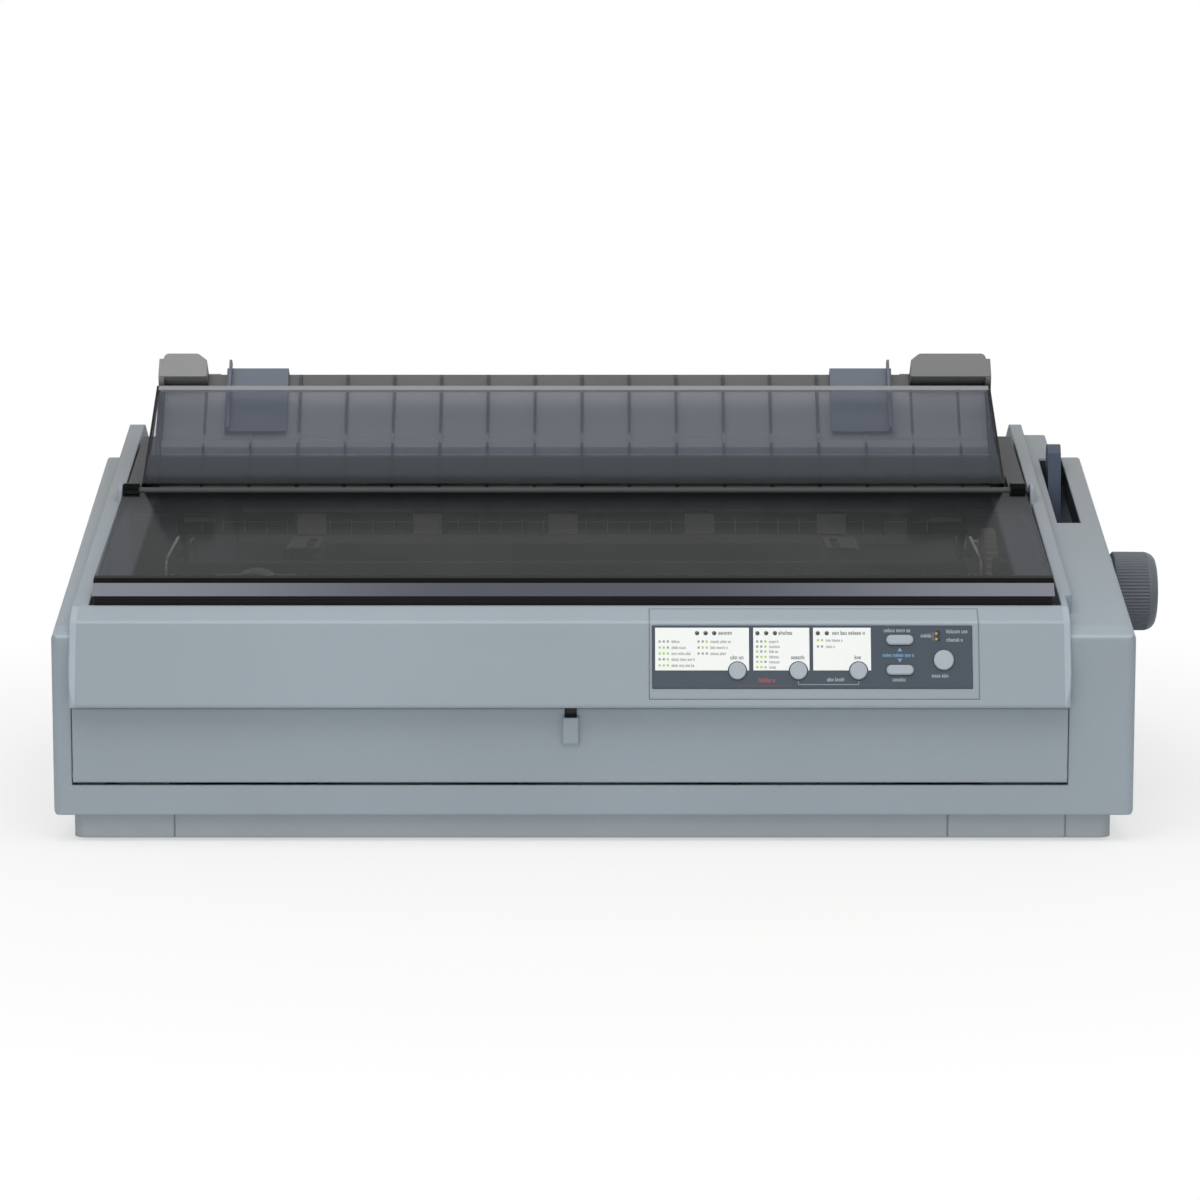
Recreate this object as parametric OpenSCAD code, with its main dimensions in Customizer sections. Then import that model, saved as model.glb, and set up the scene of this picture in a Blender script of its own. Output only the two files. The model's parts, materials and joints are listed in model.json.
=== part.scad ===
// Wide-carriage dot matrix printer.
// X runs to the right, Y to the rear and Z up. The origin is the middle of the outer box, on the floor.

/* [Outer case] */
// Left face of the case
case_left = -319.5; // [-330:0.5:-318]
// Right face of the case, where the knob comes out
case_right = 290; // [289:0.5:300]
// Front edge of the overhanging panel
case_front = -201.5; // [-203:0.5:-200]
// Rear face of the connectors and the rear wall
case_rear = 201; // [200:0.5:206]
// Height of the printer with its paper guide up
case_height = 257.5; // [256:0.5:262]
// Wall thickness of the moulded case
wall = 3; // [2:0.1:3.5]
// Slope of the side housings' tops
deck_slope = 14.9; // [13:0.1:16]

/* [Centre section] */
// Left end of the front cover and the raised rim
centre_left = -308.5; // [-310:0.5:-307]
// Right end of the front cover
centre_right = 252.5; // [252:0.5:254]
// Left edge of the opening under the covers
opening_left = -299.2; // [-300:0.1:-299]
// Right edge of the opening under the covers
opening_right = 248.8; // [248:0.1:249.5]
// Front edge of the opening under the covers
opening_front = -174.5; // [-175:0.1:-174]

/* [Control panel] */
// Lean of the front panel from upright
panel_lean = 17; // [15:0.5:19]
// Height of the panel's lower edge
panel_low = 79; // [78:0.5:80]
// Left edge of the panel insert
insert_left = 16.4; // [14:0.1:17]
// Right edge of the panel insert
insert_right = 201; // [200:0.1:203]
// Travel of every push button
button_travel = 1.2; // [0.8:0.1:1.3]

/* [Covers] */
// Thickness of the smoked covers
smoke_t = 2.5; // [2:0.1:3]
// Radius of the rod that the printer cover turns on
rod_r = 2.5; // [2:0.1:2.8]
// Lean of the paper guide from level
guide_rise = 52.2; // [50:0.1:54]
// Length of the smoked guide cover up its slope
guide_cover_len = 70.2; // [66:0.1:72]

/* [Paper feed] */
// Radius of the rubber platen
platen_r = 18; // [16:0.5:19]
// Radius of the platen's shaft
shaft_r = 5; // [4:0.1:6]
// Radius of the paper feed knob
knob_r = 24; // [22:0.5:25]
// How far the knob stands out of the case
knob_out = 29.5; // [28:0.5:30]
// Gear module
gear_module = 1.5; // [1.5]
// Gap between the ribs of the paper guide
rib_pitch = 28.94; // [28:0.02:30]
// Pitch of the tractor pins, half an inch
pin_pitch = 12.7; // [12.7]

/* [Print carriage] */
// Radius of the carriage's guide shaft
rail_r = 5; // [4:0.1:6]
// Carriage position at rest
carriage_x = -212; // [-213:1:-205]
// Travel of the carriage
carriage_travel = 372; // [350:1:372]
// Radius at the inside of the drive belt
belt_r = 8; // [7:0.1:9]

/* [Hidden] */
$fn = 64;
eps = 0.01;
running = 0.05; // radial clearance of a shaft in its hole
snug = 0.03; // the same where the part is fixed on its shaft
soft = 4; // segments of a rounded corner

// case heights and depths
pod_front = -188;
case_bottom = 16;
base_bottom = 2;
foot_h = 3;
base_seams = [-251.6, 185.4, 251.9];
rear_wall = case_rear - 1.5;
deck_y = -64.6;
deck_z = 152;
pod_peak = 82;
block_peak = 121;
block_right = 272.4;
block_left = -309.2;
rail_right = 256.2;
rim_front_z = 133.3;
rim_slope = 0.2525;
rim_depth = 20;
band_top = 33;
band_front = -187;
shoulder_pod = 140;
shoulder_block = 160;
panel_len = 49.5; // up the slanted face
panel_end_r = 6;
tone_case = [0.60, 0.64, 0.68];
tone_dark = [0.16, 0.17, 0.18];
tone_steel = [0.72, 0.73, 0.75];
tone_smoke = [0.24, 0.25, 0.27];
tone_guide = [0.42, 0.43, 0.43];
tone_blue = [0.27, 0.34, 0.45];
tone_board = [0.13, 0.38, 0.22];

function deck(y) = deck_z + tan(deck_slope) * (y - deck_y);
function rim(y) = rim_front_z + rim_slope * (y + 175);

// corner of an outline rounded with radius r
function corner(a, p, b, r) =
  let (u = (a - p) / norm(a - p), v = (b - p) / norm(b - p), half = acos(u * v) / 2,
    c = p + (u + v) / norm(u + v) * r / sin(half), s = p + u * r / tan(half), e = p + v * r / tan(half),
    a0 = atan2(s.y - c.y, s.x - c.x), turn = atan2(e.y - c.y, e.x - c.x) - a0,
    sweep = turn > 180 ? turn - 360 : turn < -180 ? turn + 360 : turn)
  [for (i = [0:soft]) c + r * [cos(a0 + sweep * i / soft), sin(a0 + sweep * i / soft)]];
function rounded(pts, r) =
  let (n = len(pts))
  [for (i = [0:n - 1]) each (r[i] == 0 ? [pts[i]] :
    corner(pts[(i + n - 1) % n], pts[i], pts[(i + 1) % n], r[i]))];

module along_x(x0, x1) { translate([x0, 0, 0]) rotate([90, 0, 90]) linear_extrude(x1 - x0) children(); }
module along_y(y0, y1) { translate([0, y1, 0]) rotate([90, 0, 0]) linear_extrude(y1 - y0) children(); }
module box(a, b) { translate(a) cube(b - a); }
module rod_x(x0, x1, y, z, r) { translate([x0, y, z]) rotate([0, 90, 0]) cylinder(h = x1 - x0, r = r); }
module rod_y(x, y0, y1, z, r) { translate([x, y1, z]) rotate([90, 0, 0]) cylinder(h = y1 - y0, r = r); }
module rod_z(x, y, z0, z1, r) { translate([x, y, z0]) cylinder(h = z1 - z0, r = r); }
module on_panel() { translate([0, case_front, panel_low]) rotate([90 - panel_lean, 0, 0]) children(); }

// ---- case ----
module pod_side(w) {
  polygon(rounded([[pod_front + w, case_bottom - (w > 0 ? 1 : 0)], [pod_front + w, deck(pod_front + w) - w],
    [pod_peak, deck(pod_peak) - w], [rear_wall - w, shoulder_pod - w],
    [rear_wall - w, case_bottom - (w > 0 ? 1 : 0)]], [0, 5, 9, 9, 0]));
}
module block_side(w) {
  polygon(rounded([[pod_front + 20, case_bottom - (w > 0 ? 1 : 0)],
    [pod_front + 20, deck(pod_front + 20) - w], [block_peak, deck(block_peak) - w],
    [rear_wall - w, shoulder_block - w], [rear_wall - w, case_bottom - (w > 0 ? 1 : 0)]],
    [0, 0, 9, 9, 0]));
}
panel_top = [case_front + panel_len * sin(panel_lean), panel_low + panel_len * cos(panel_lean)];
rim_peak = [block_peak, rim(block_peak)];
module centre_side(w) { // front panel, rim and rails in one outline
  polygon(rounded([[band_front + w, case_bottom - (w > 0 ? 1 : 0)], [band_front + w, panel_low + w],
    [case_front + w * 1.05, panel_low + w], [panel_top.x + w * 0.9, panel_top.y - w * 0.6],
    [-176, rim(-176) - w], [rim_peak.x, rim_peak.y - w], [rear_wall - w, shoulder_block + 6 - w],
    [rear_wall - w, case_bottom - (w > 0 ? 1 : 0)]], [0, 0, 1.5, 4, 3, 9, 9, 0]));
}
// box with rounded long edges, its top on the sloping deck
module deck_edges(x0, x1, r) {
  translate([0, deck_y, deck_z - 0.02]) rotate([deck_slope, 0, 0]) along_y(-400, 400)
    polygon(rounded([[x0 - eps, -400], [x0 - eps, 0], [x1 + eps, 0], [x1 + eps, -400]], [0, r, r, 0]));
}
module pods(w) {
  intersection() {
    if (w == 0) deck_edges(case_left, case_right, 5);
    if (w == 0) along_y(-400, 400) polygon(rounded([[case_left - eps, case_bottom - 0.6],
      [case_left - eps, 400], [case_right + eps, 400], [case_right + eps, case_bottom - 0.6]],
      [4, 0, 0, 4]));
    along_x(case_left + w, case_right - w) pod_side(w);
    linear_extrude(case_height) polygon(rounded([[case_left + w, pod_front + w],
      [case_left + w, case_rear + 20], [case_right - w, case_rear + 20],
      [case_right - w, pod_front + w]], [5, 0, 0, 5]));
  }
}
module blocks(w) {
  intersection() {
    if (w == 0) deck_edges(block_left, block_right, 4);
    along_x(block_left + w, block_right - w) block_side(w);
  }
}
module centre(w) {
  intersection() {
    along_x(centre_left + w, rail_right - w) centre_side(w);
    union() {
      translate([0, 0, panel_low - 1]) linear_extrude(case_height) polygon(rounded([
        [centre_left + w, -160], [centre_left + w, case_front + w], [centre_right - w, case_front + w],
        [centre_right - w, -160]], [0, panel_end_r, panel_end_r, 0]));
      box([centre_left - 1, band_front - 1, 0], [centre_right - (w > 0 ? w : eps), -160, case_height]);
      box([centre_left - 1, -160, 0], [rail_right + 1, case_rear + 1, case_height]);
    }
  }
}
slot_x = [263, 277.3];
slot_y = [-26, 79];
knob_axis = [-43, 123.4]; // y, z
door_pivot = [-185.4, 38.5];
rod_axis = [-10, 179.5];
guide_pivot = [88, 192];
lever_pivot = [20, 62];
boss_x = [-255, 205];
screw_x = [-303.2, 272.4];
screw_y = [-165, 175];
inlet_x = 150;
switch_x = 196;
port_z = 34;
module rear_cutouts(gap) { // openings in the rear wall
  translate([inlet_x - 15 - gap, 0, 30 - gap]) cube([30 + 2 * gap, 300, 24 + 2 * gap]);
  translate([switch_x - 7.5 - gap, 0, 31 - gap]) cube([15 + 2 * gap, 300, 22 + 2 * gap]);
  translate([-232 - gap, 0, port_z - 7 - gap]) cube([62 + 2 * gap, 300, 14 + 2 * gap]);
  translate([-155 - gap, 0, port_z - 6 - gap]) cube([14 + 2 * gap, 300, 12 + 2 * gap]);
}
module upper_case() color(tone_case) difference() {
  union() {
    difference() {
      union() { pods(0); blocks(0); centre(0); }
      union() { pods(wall); blocks(wall); centre(wall); }
      box([opening_left, opening_front, 100], [opening_right, 176, case_height]);
    }
    // bottom return that stands on the lower case
    difference() {
      box([case_left + 2.6, band_front + 1, case_bottom],
        [case_right - 2.6, rear_wall - 1, case_bottom + 2.5]);
      box([-300, -174, 0], [269, 188, 30]);
    }
    // rim walls round the opening
    difference() {
      intersection() {
        centre(wall / 2);
        difference() {
          box([opening_left - wall, opening_front - wall, 100], [opening_right + wall, 176 + wall, 250]);
          box([opening_left, opening_front, 90], [opening_right, 176, 260]);
        }
      }
      along_x(case_left, case_right) polygon([[-190, 0], [-190, rim(-190) - rim_depth],
        [rim_peak.x, rim_peak.y - rim_depth], [case_rear, shoulder_block - rim_depth], [case_rear, 0]]);
    }
    // inner walls beside the front cover
    for (x = [centre_left - wall, centre_right])
      box([x, pod_front + 1, case_bottom + 1], [x + wall, -170, 105]);
    // well round the lever slot
    difference() {
      intersection() {
        pods(wall / 2);
        box([slot_x[0] - 2, slot_y[0] - 2, 100], [slot_x[1] + 2, slot_y[1] + 2, 250]);
      }
      along_x(slot_x[0] - 3, slot_x[1] + 3) polygon([[slot_y[0] - 3, 50],
        [slot_y[0] - 3, deck(slot_y[0] - 3) - 16], [slot_y[1] + 3, deck(slot_y[1] + 3) - 16],
        [slot_y[1] + 3, 50]]);
    }
    // bosses of the paper guide's pins and the release shaft
    rod_x(opening_left - wall - 3, opening_left - wall + 1, guide_pivot.x, guide_pivot.y, 6);
    rod_x(opening_right + wall - 1, opening_right + wall + 3, guide_pivot.x, guide_pivot.y, 6);
    rod_x(279, case_right - wall + 1, lever_pivot.x, lever_pivot.y, 8);
    // ears that hold the hinge rod
    for (x = [opening_left - 2, opening_right - 1])
      along_x(x, x + 3) polygon(rounded([[rod_axis.x - 8, rim(rod_axis.x) - 8], [rod_axis.x - 5, 184],
        [rod_axis.x + 5, 184], [rod_axis.x + 8, rim(rod_axis.x) - 8]], [0, 4, 4, 0]));
  }
  // front cover's opening
  box([centre_left, -210, band_top], [centre_right, -180, panel_low - 1]);
  // panel insert's place
  box([insert_left, -210, 83.8], [insert_right, opening_front - wall, 140]);
  // lever slot and the knob's shaft hole
  box([slot_x[0], slot_y[0], 100], [slot_x[1], slot_y[1], 250]);
  rod_x(270, case_right + 1, knob_axis.x, knob_axis.y, 7);
  // pin holes
  for (x = [centre_left - 4, centre_right - 1])
    rod_x(x, x + 5, door_pivot.x, door_pivot.y, 2 + running);
  rod_x(opening_left - 8, opening_left + 1, guide_pivot.x, guide_pivot.y, 3 + running);
  rod_x(opening_right - 1, opening_right + 8, guide_pivot.x, guide_pivot.y, 3 + running);
  rod_x(270, case_right - wall, lever_pivot.x, lever_pivot.y, 4 + running);
  for (x = screw_x, y = screw_y) rod_z(x, y, 15, 19, 1.6);
  rod_x(opening_left - 3, opening_right + 3, rod_axis.x, rod_axis.y, rod_r);
  // rear wall: connectors, interface slot, air vents
  translate([0, rear_wall - wall - 1, 0]) rear_cutouts(0.3);
  box([-105, 190, 22], [-25, 210, 50]);
  for (i = [0:15]) box([-10 + i * 7, 190, 70], [-7 + i * 7, 210, 110]);
}
module lower_case() color(tone_case * 0.94) {
  difference() {
    union() {
      difference() {
        linear_extrude(case_bottom) polygon(rounded([[-309, -183], [-309, 196], [278.2, 196],
          [278.2, -183]], [8, 8, 8, 8]));
        box([-306, -180, 5], [275.2, 193, 30]);
        box([-400, -400, -1], [400, 400, base_bottom]);
      }
      for (x = boss_x, y = [-120, 100]) rod_z(x, y, 4, 40, 6);
      for (x = screw_x, y = screw_y) rod_z(x, y, 4, case_bottom, 3.2);
      for (x = [-260, -150, -45], y = [36, 186]) rod_z(x, y, 4, 14, 4);
      for (x = [-2, 190], y = [36, 174]) rod_z(x, y, 4, 8, 5);
      for (x = [-180:60:180]) box([x, -175, 4], [x + 2, 30, 10]);
    }
    for (x = [-280, 250], y = [-155, 165]) rod_z(x, y, 0, 3.2, 9.2);
    for (x = screw_x, y = screw_y) {
      rod_z(x, y, 0, 3.6, 3);
      rod_z(x, y, 0, 20, 1.5);
    }
    for (x = boss_x, y = [-120, 100]) rod_z(x, y, 28, 41, 1.4);
    for (x = base_seams) box([x - 0.4, -184, 0], [x + 0.4, -182.2, case_bottom + 1]);
  }
}
module rubber_feet() color(tone_dark)
  for (x = [-280, 250], y = [-155, 165]) rod_z(x, y, 0, foot_h + 0.2, 9);
module case_screws() color(tone_steel) for (x = screw_x, y = screw_y) {
  rod_z(x, y, 2.4, 3.6, 2.9);
  rod_z(x, y, 3.5, 18, 1.45);
}
module panel_insert() color(tone_case) difference() {
  intersection() {
    difference() { centre(0); centre(wall); }
    box([insert_left + 0.15, -210, 83.95], [insert_right - 0.15, opening_front - wall - 0.15, 140]);
  }
  on_panel() box([18.1, 11.3, -1.6], [197.2, 46.8, 3]);
  on_panel() box([21, 14, -8], [194, 44, 3]);
}
module bezel_holes(gap) {
  for (b = round_buttons) translate([b[0], b[1], -5]) cylinder(h = 10, r = b[2] + gap);
  for (b = long_buttons) long_shape(b[0], b[1], -5, 5, 7.6 + gap, 2.75 + gap);
}
round_buttons = [[65.7, 21.2, 4.85], [99.8, 21.2, 4.85], [133.4, 21.2, 4.85], [181.1, 27.3, 5.6]];
long_buttons = [[156.6, 38.7], [156.6, 21.7]];
lamps = [[43.2, 42.5], [48, 42.5], [52.8, 42.5], [77, 42.5], [81.9, 42.5], [86.8, 42.5], [110.8, 42.5],
  [115.8, 42.5], [178.2, 42.6], [178.2, 39.4]];
lamp_r = 1.1;
module long_shape(x, y, z0, z1, half, r) {
  translate([x, y, z0]) linear_extrude(z1 - z0) {
    for (s = [-1, 1]) translate([s * (half - r), 0]) circle(r);
    square([2 * (half - r), 2 * r], center = true);
  }
}
module panel_bezel() color([0.26, 0.30, 0.35]) on_panel() difference() {
  union() {
    box([18.3, 11.5, -1.6], [197, 46.6, 0.4]);
    for (x = [22.5, 189.5], y = [15, 40.2]) box([x, y, -7.6], [x + 3, y + 3, -1.5]);
  }
  bezel_holes(0.25);
  for (l = lamps) translate([l[0], l[1], -5]) cylinder(h = 10, r = lamp_r + 0.1, $fn = 24);
}
module panel_labels() color([0.93, 0.95, 0.94]) on_panel() difference() {
  for (x = [[19.7, 72.2], [74.6, 106], [108.1, 140.4]]) box([x[0], 21.5, 0.4], [x[1], 45.6, 0.7]);
  bezel_holes(0.6);
  for (l = lamps) translate([l[0], l[1], -5]) cylinder(h = 10, r = lamp_r + 0.1, $fn = 24);
}
module panel_board() color(tone_board) on_panel() {
  box([22, 14.5, -9.2], [193, 43.6, -7.6]);
  for (l = lamps) translate([l[0], l[1], -7.7]) cylinder(h = 8.5, r = lamp_r, $fn = 24);
  for (b = round_buttons) box([b[0] - 3, b[1] - 3, -7.7], [b[0] + 3, b[1] + 3, -5.5]);
  for (b = long_buttons) box([b[0] - 3, b[1] - 3, -7.7], [b[0] + 3, b[1] + 3, -5.5]);
}
module round_button(i) color([0.66, 0.69, 0.72]) on_panel() translate([round_buttons[i][0],
  round_buttons[i][1], 0]) {
  r = round_buttons[i][2];
  rotate_extrude() polygon([[0, -4.2], [r + 1.2, -4.2], [r + 1.2, -1.8], [r, -1.8], [r, 1.5],
    [r - 0.5, 2], [0, 2]]);
}
module long_button(i) color([0.66, 0.69, 0.72]) on_panel() {
  b = long_buttons[i];
  long_shape(b[0], b[1], -4.2, -1.8, 8.8, 3.9);
  long_shape(b[0], b[1], -1.9, 1.6, 7.6, 2.75);
  long_shape(b[0], b[1], 1.5, 2, 7.1, 2.25);
}
module font_button() round_button(0);
module pitch_button() round_button(1);
module tear_off_button() round_button(2);
module pause_button() round_button(3);
module load_button() long_button(0);
module feed_button() long_button(1);
module hinge_rod() color(tone_dark) rod_x(opening_left - 2, opening_right + 2, rod_axis.x, rod_axis.y,
  rod_r);

// ---- covers ----
door_gap = 0.6;
module front_cover() color(tone_case) {
  x0 = centre_left + door_gap;
  x1 = centre_right - door_gap;
  difference() {
    union() {
      along_x(x0, x1) polygon(rounded([[-189, 34.6], [-189, 77.4], [-186, 77.4], [-186, 34.6]],
        [1.2, 1.2, 0, 0]));
      for (x = [x0, x1 - 6]) rod_x(x, x + 6, door_pivot.x, door_pivot.y, 3);
      for (x = [-250:50:200]) box([x, -186.1, 45], [x + 2, -182, 73]);
      // finger tab
      along_x(-32, -23.2) polygon(rounded([[-189 + eps, 55.8], [-191.6, 57.5], [-192.6, 72.5],
        [-189 + eps, 73.2]], [0, 1, 0.8, 0]));
    }
    box([-31, -190, 73.6], [-24.2, -187.6, 80]);
  }
  rod_x(x0 - 2.6, x0 + 1, door_pivot.x, door_pivot.y, 2);
  rod_x(x1 - 1, x1 + 2.6, door_pivot.x, door_pivot.y, 2);
}
cover_left = -297.5;
cover_right = 245.2;
module printer_cover() color(concat(tone_smoke, 0.8)) difference() {
  union() {
    difference() {
      along_x(cover_left, cover_right) polygon([[-172.8, 138.4], [-164.6, 146.6], [-163, 147.4],
        [-15, 179.3], [-15, 172]]);
      along_x(cover_left + smoke_t, cover_right - smoke_t) polygon([[-171.4, 136.1],
        [-162.4, 147.5 - smoke_t], [-15, 179.2 - smoke_t], [-15, 130]]);
    }
    for (x = [cover_left, cover_right - 9]) {
      rod_x(x, x + 9, rod_axis.x, rod_axis.y, 5);
      along_x(x, x + 9) polygon([[-17, 172], [-17, 178.8], [rod_axis.x - 1, 184], [rod_axis.x, 175]]);
    }
  }
  rod_x(-320, 320, rod_axis.x, rod_axis.y, rod_r + running);
}
guide_origin = [-3, 183.5];
module on_guide() { translate([0, guide_origin.x, guide_origin.y]) rotate([guide_rise, 0, 0]) children(); }
guide_left = -279;
guide_right = 226.4;
end_wall = 3.4;
hinge_pin = [3.5, -8]; // guide cover's pin, up the slope and out of it
module guide_cover() color(concat(tone_smoke, 0.8)) on_guide() {
  difference() {
    translate([0, 0, -14]) linear_extrude(14) polygon([[-287.5, 0], [-282.4, guide_cover_len],
      [228.3, guide_cover_len], [233.7, 0]]);
    translate([0, -1, -20]) linear_extrude(20 - smoke_t) polygon([[-287.5 + smoke_t, 0],
      [-282.4 + smoke_t, guide_cover_len + 2], [228.3 - smoke_t, guide_cover_len + 2],
      [233.7 - smoke_t, 0]]);
    // returns narrow towards the top
    rotate([90, 0, 90]) translate([0, 0, -320]) linear_extrude(640)
      polygon([[8, -20], [8, -9], [guide_cover_len + 1, -5], [guide_cover_len + 1, -20]]);
  }
  for (x = [[-285.3, 5], [227, 4.6]]) rotate([0, 90, 0]) translate([-hinge_pin.y, hinge_pin.x, x[0]])
    cylinder(h = x[1], r = 2);
}
module guide_profile() { // ribbed sheet, across its slope
  polygon([[4, -16.8], [4, -14.3], [30, -14.3], [33, -11.6], [38, -11.6], [41, -14.3], [87.6, -14.3],
    [87.6, -16.8], [41.9, -16.8], [38.9, -14.1], [32.1, -14.1], [29.1, -16.8]]);
}
module paper_guide() color(tone_guide) on_guide() {
  rotate([90, 0, 90]) translate([0, 0, guide_left]) linear_extrude(guide_right - guide_left)
    guide_profile();
  for (i = [0:13]) translate([-36.3 + (i - 6.5) * rib_pitch - 0.8, 0, 0]) rotate([90, 0, 90])
    linear_extrude(1.6) polygon([[8, -14.4], [8, -12.4], [29, -12.4], [33, -9.9], [38, -9.9],
      [42, -12.4], [85, -12.4], [87, -14.4], [41, -14.4], [38, -11.7], [33, -11.7], [30, -14.4]]);
}
module guide_ends() color([0.50, 0.50, 0.50]) {
  on_guide() for (s = [0, 1]) {
    x0 = s == 0 ? guide_left - end_wall : guide_right;
    difference() {
      union() {
        // side wall
        rotate([90, 0, 90]) translate([0, 0, x0]) linear_extrude(end_wall - (s == 0 ? eps : 0))
          polygon(rounded([[-2, -20], [-2, -9], [1, -4], [13, -4], [19, -9.4], [74, -9.4], [79, -3.1],
            [94, -3.1], [94, -20]], [3, 3, 2, 2, 3, 2, 3, 4, 4]));
        // cap round the end of the guide's top edge, with a low step behind it
        difference() {
          translate([0, 0, -22]) linear_extrude(19) polygon(s == 0 ?
            rounded([[-282.3, 79], [-279, 95.8], [-258.6, 95.8], [-253, 91], [-252.6, 79]],
              [1, 3, 3, 1, 1]) :
            rounded([[180.4, 79], [180.8, 91], [186.2, 95.8], [226.4, 95.8], [229.7, 79]],
              [1, 1, 3, 3, 1]));
          box([-300, 70, -30], [300, 88, -14]);
        }
        box([s == 0 ? -254 : 174.8, 88.1, -22], [s == 0 ? -245.5 : 181.6, 91.4, -19.2]);
      }
      rotate([0, 90, 0]) translate([-hinge_pin.y, hinge_pin.x, -320]) cylinder(h = 640, r = 2 + running);
    }
  }
  // arms that carry the guide, with their pins
  for (s = [0, 1]) {
    x0 = s == 0 ? -297 : 236.2;
    x1 = s == 0 ? -288.6 : 246.6;
    along_x(x0, x1) polygon(rounded([[0, 171.5], [0, 181.2], [95, 203.5], [95, 187], [80, 187]],
      [2, 2, 3, 3, 3]));
    along_x(s == 0 ? -288.7 : guide_right + end_wall - 0.1, s == 0 ? guide_left - end_wall + 0.1 : 236.3)
      polygon(rounded([[12, 177], [19.2, 185.6], [92, 201.5], [92, 190], [60, 187], [30, 179.5]],
        [1, 1, 2, 2, 1, 1]));
    rod_x(s == 0 ? -304 : x1 - 1, s == 0 ? x0 + 1 : 253.6, guide_pivot.x, guide_pivot.y, 3);
  }
}
module edge_guide(x0, x1, spike) color(tone_blue) on_guide() {
  rotate([90, 0, 90]) translate([0, 0, x0]) linear_extrude(x1 - x0)
    polygon([[44, -12.2], [44, -10.8], [90, -10.8], [90, -18.6], [72, -18.6], [72, -17.1],
      [88.5, -17.1], [88.5, -12.2]]);
  translate([spike - 0.8, 44, -10.9]) cube([1.6, 49.2, 5]);
}
module edge_guide_left() edge_guide(-241, -203, -238.6);
module edge_guide_right() edge_guide(131, 169, 166.8);

// ---- paper feed ----
gear_x = [216.5, 223.5];
platen_teeth = 48;
idler_teeth = 28;
tractor_teeth = 24;
pinion_teeth = 12;
mesh_gap = 0.35; // added to each centre distance
idler_axis = [knob_axis.x + (platen_teeth + idler_teeth) * gear_module / 2 + mesh_gap, knob_axis.y];
tractor_axis = [idler_axis.x + (idler_teeth + tractor_teeth) * gear_module / 2 + mesh_gap, knob_axis.y];
pinion_turn = -65; // direction from the platen's axis to the motor's
pinion_reach = (platen_teeth + pinion_teeth) * gear_module / 2 + mesh_gap;
motor_axis = [knob_axis.x + pinion_reach * cos(pinion_turn), knob_axis.y + pinion_reach * sin(pinion_turn)];

function involute(rb, t) = rb * [cos(t) + t * PI / 180 * sin(t), sin(t) - t * PI / 180 * cos(t)];
function unroll(rb, r) = sqrt(max(0, pow(r / rb, 2) - 1)) * 180 / PI;
function spin(p, a) = [p.x * cos(a) - p.y * sin(a), p.x * sin(a) + p.y * cos(a)];
// outline of a spur gear with one tooth pointing at angle 0
function gear_outline(n) =
  let (rp = n * gear_module / 2, rb = rp * cos(20), ra = rp + gear_module * 0.95,
    rf = rp - gear_module * 1.25, tp = unroll(rb, rp), at = involute(rb, tp), a_pitch = atan2(at.y, at.x),
    half = 90 / n - 0.12 * 180 / PI / rp + a_pitch, rs = max(rb, rf + 0.1))
  [for (k = [0:n - 1]) each
    [for (q = concat([[rf, 0, -1]], [for (i = [0:3]) [rs + (ra - rs) * i / 3, 1, -1]],
        [for (i = [3:-1:0]) [rs + (ra - rs) * i / 3, 1, 1]], [[rf, 0, 1]]))
      let (p = involute(rb, unroll(rb, q[0])), a = half - (q[1] == 1 ? atan2(p.y, p.x) : 0))
      spin([q[0], 0], k * 360 / n + q[2] * (q[1] == 1 ? a : a + 0.05))]];
module gear_x_axis(n, axis, phase, bore) { // tooth at phase, measured from +Y towards +Z
  translate([gear_x[0], axis.x, axis.y]) rotate([90, 0, 90]) linear_extrude(gear_x[1] - gear_x[0])
    difference() { rotate(phase) polygon(gear_outline(n)); circle(bore); }
}
half_idler = 180 / idler_teeth;
module platen_roller() color(tone_dark) difference() {
  rod_x(-262, 207, knob_axis.x, knob_axis.y, platen_r);
  rod_x(-263, 208, knob_axis.x, knob_axis.y, shaft_r);
}
module platen_shaft() color(tone_steel) rod_x(-274, 312, knob_axis.x, knob_axis.y, shaft_r);
module platen_gear() color([0.85, 0.85, 0.80]) gear_x_axis(platen_teeth, knob_axis, 0, shaft_r + snug);
module platen_knob() color([0.29, 0.31, 0.33]) difference() {
  union() {
    translate([case_right + 0.8, knob_axis.x, knob_axis.y]) rotate([90, 0, 90]) rotate_extrude()
      polygon(rounded([[0, 0], [knob_r - 4, 0], [knob_r - 4, 3], [knob_r - 1, 3],
        [knob_r - 1.5, knob_out - 0.8], [0, knob_out - 0.8]], [0, 0, 0, 0.6, 5, 0]));
    for (i = [0:35]) translate([case_right + 4.2, knob_axis.x, knob_axis.y]) rotate([i * 10, 0, 0])
      translate([0, knob_r - 2.2, -1]) cube([knob_out - 11, 2.2, 2]);
  }
  rod_x(case_right, 312, knob_axis.x, knob_axis.y, shaft_r + snug);
}
module platen_bushes() color([0.82, 0.76, 0.6]) for (x = [[-271, -266.4], [213.4, 216]]) difference() {
  union() {
    rod_x(x[0], x[1], knob_axis.x, knob_axis.y, 8);
    rod_x(x[0] < 0 ? -266.4 : 212, x[0] < 0 ? -265 : 213.4, knob_axis.x, knob_axis.y, 10);
  }
  rod_x(-300, 300, knob_axis.x, knob_axis.y, shaft_r + running);
}
module feed_pinion() color([0.85, 0.85, 0.80]) {
  gear_x_axis(pinion_teeth, motor_axis, 180 + pinion_turn + 180 / pinion_teeth +
    platen_phase(pinion_turn), 1.9);
  rod_x(200, 226, motor_axis.x, motor_axis.y, 2);
}
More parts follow.
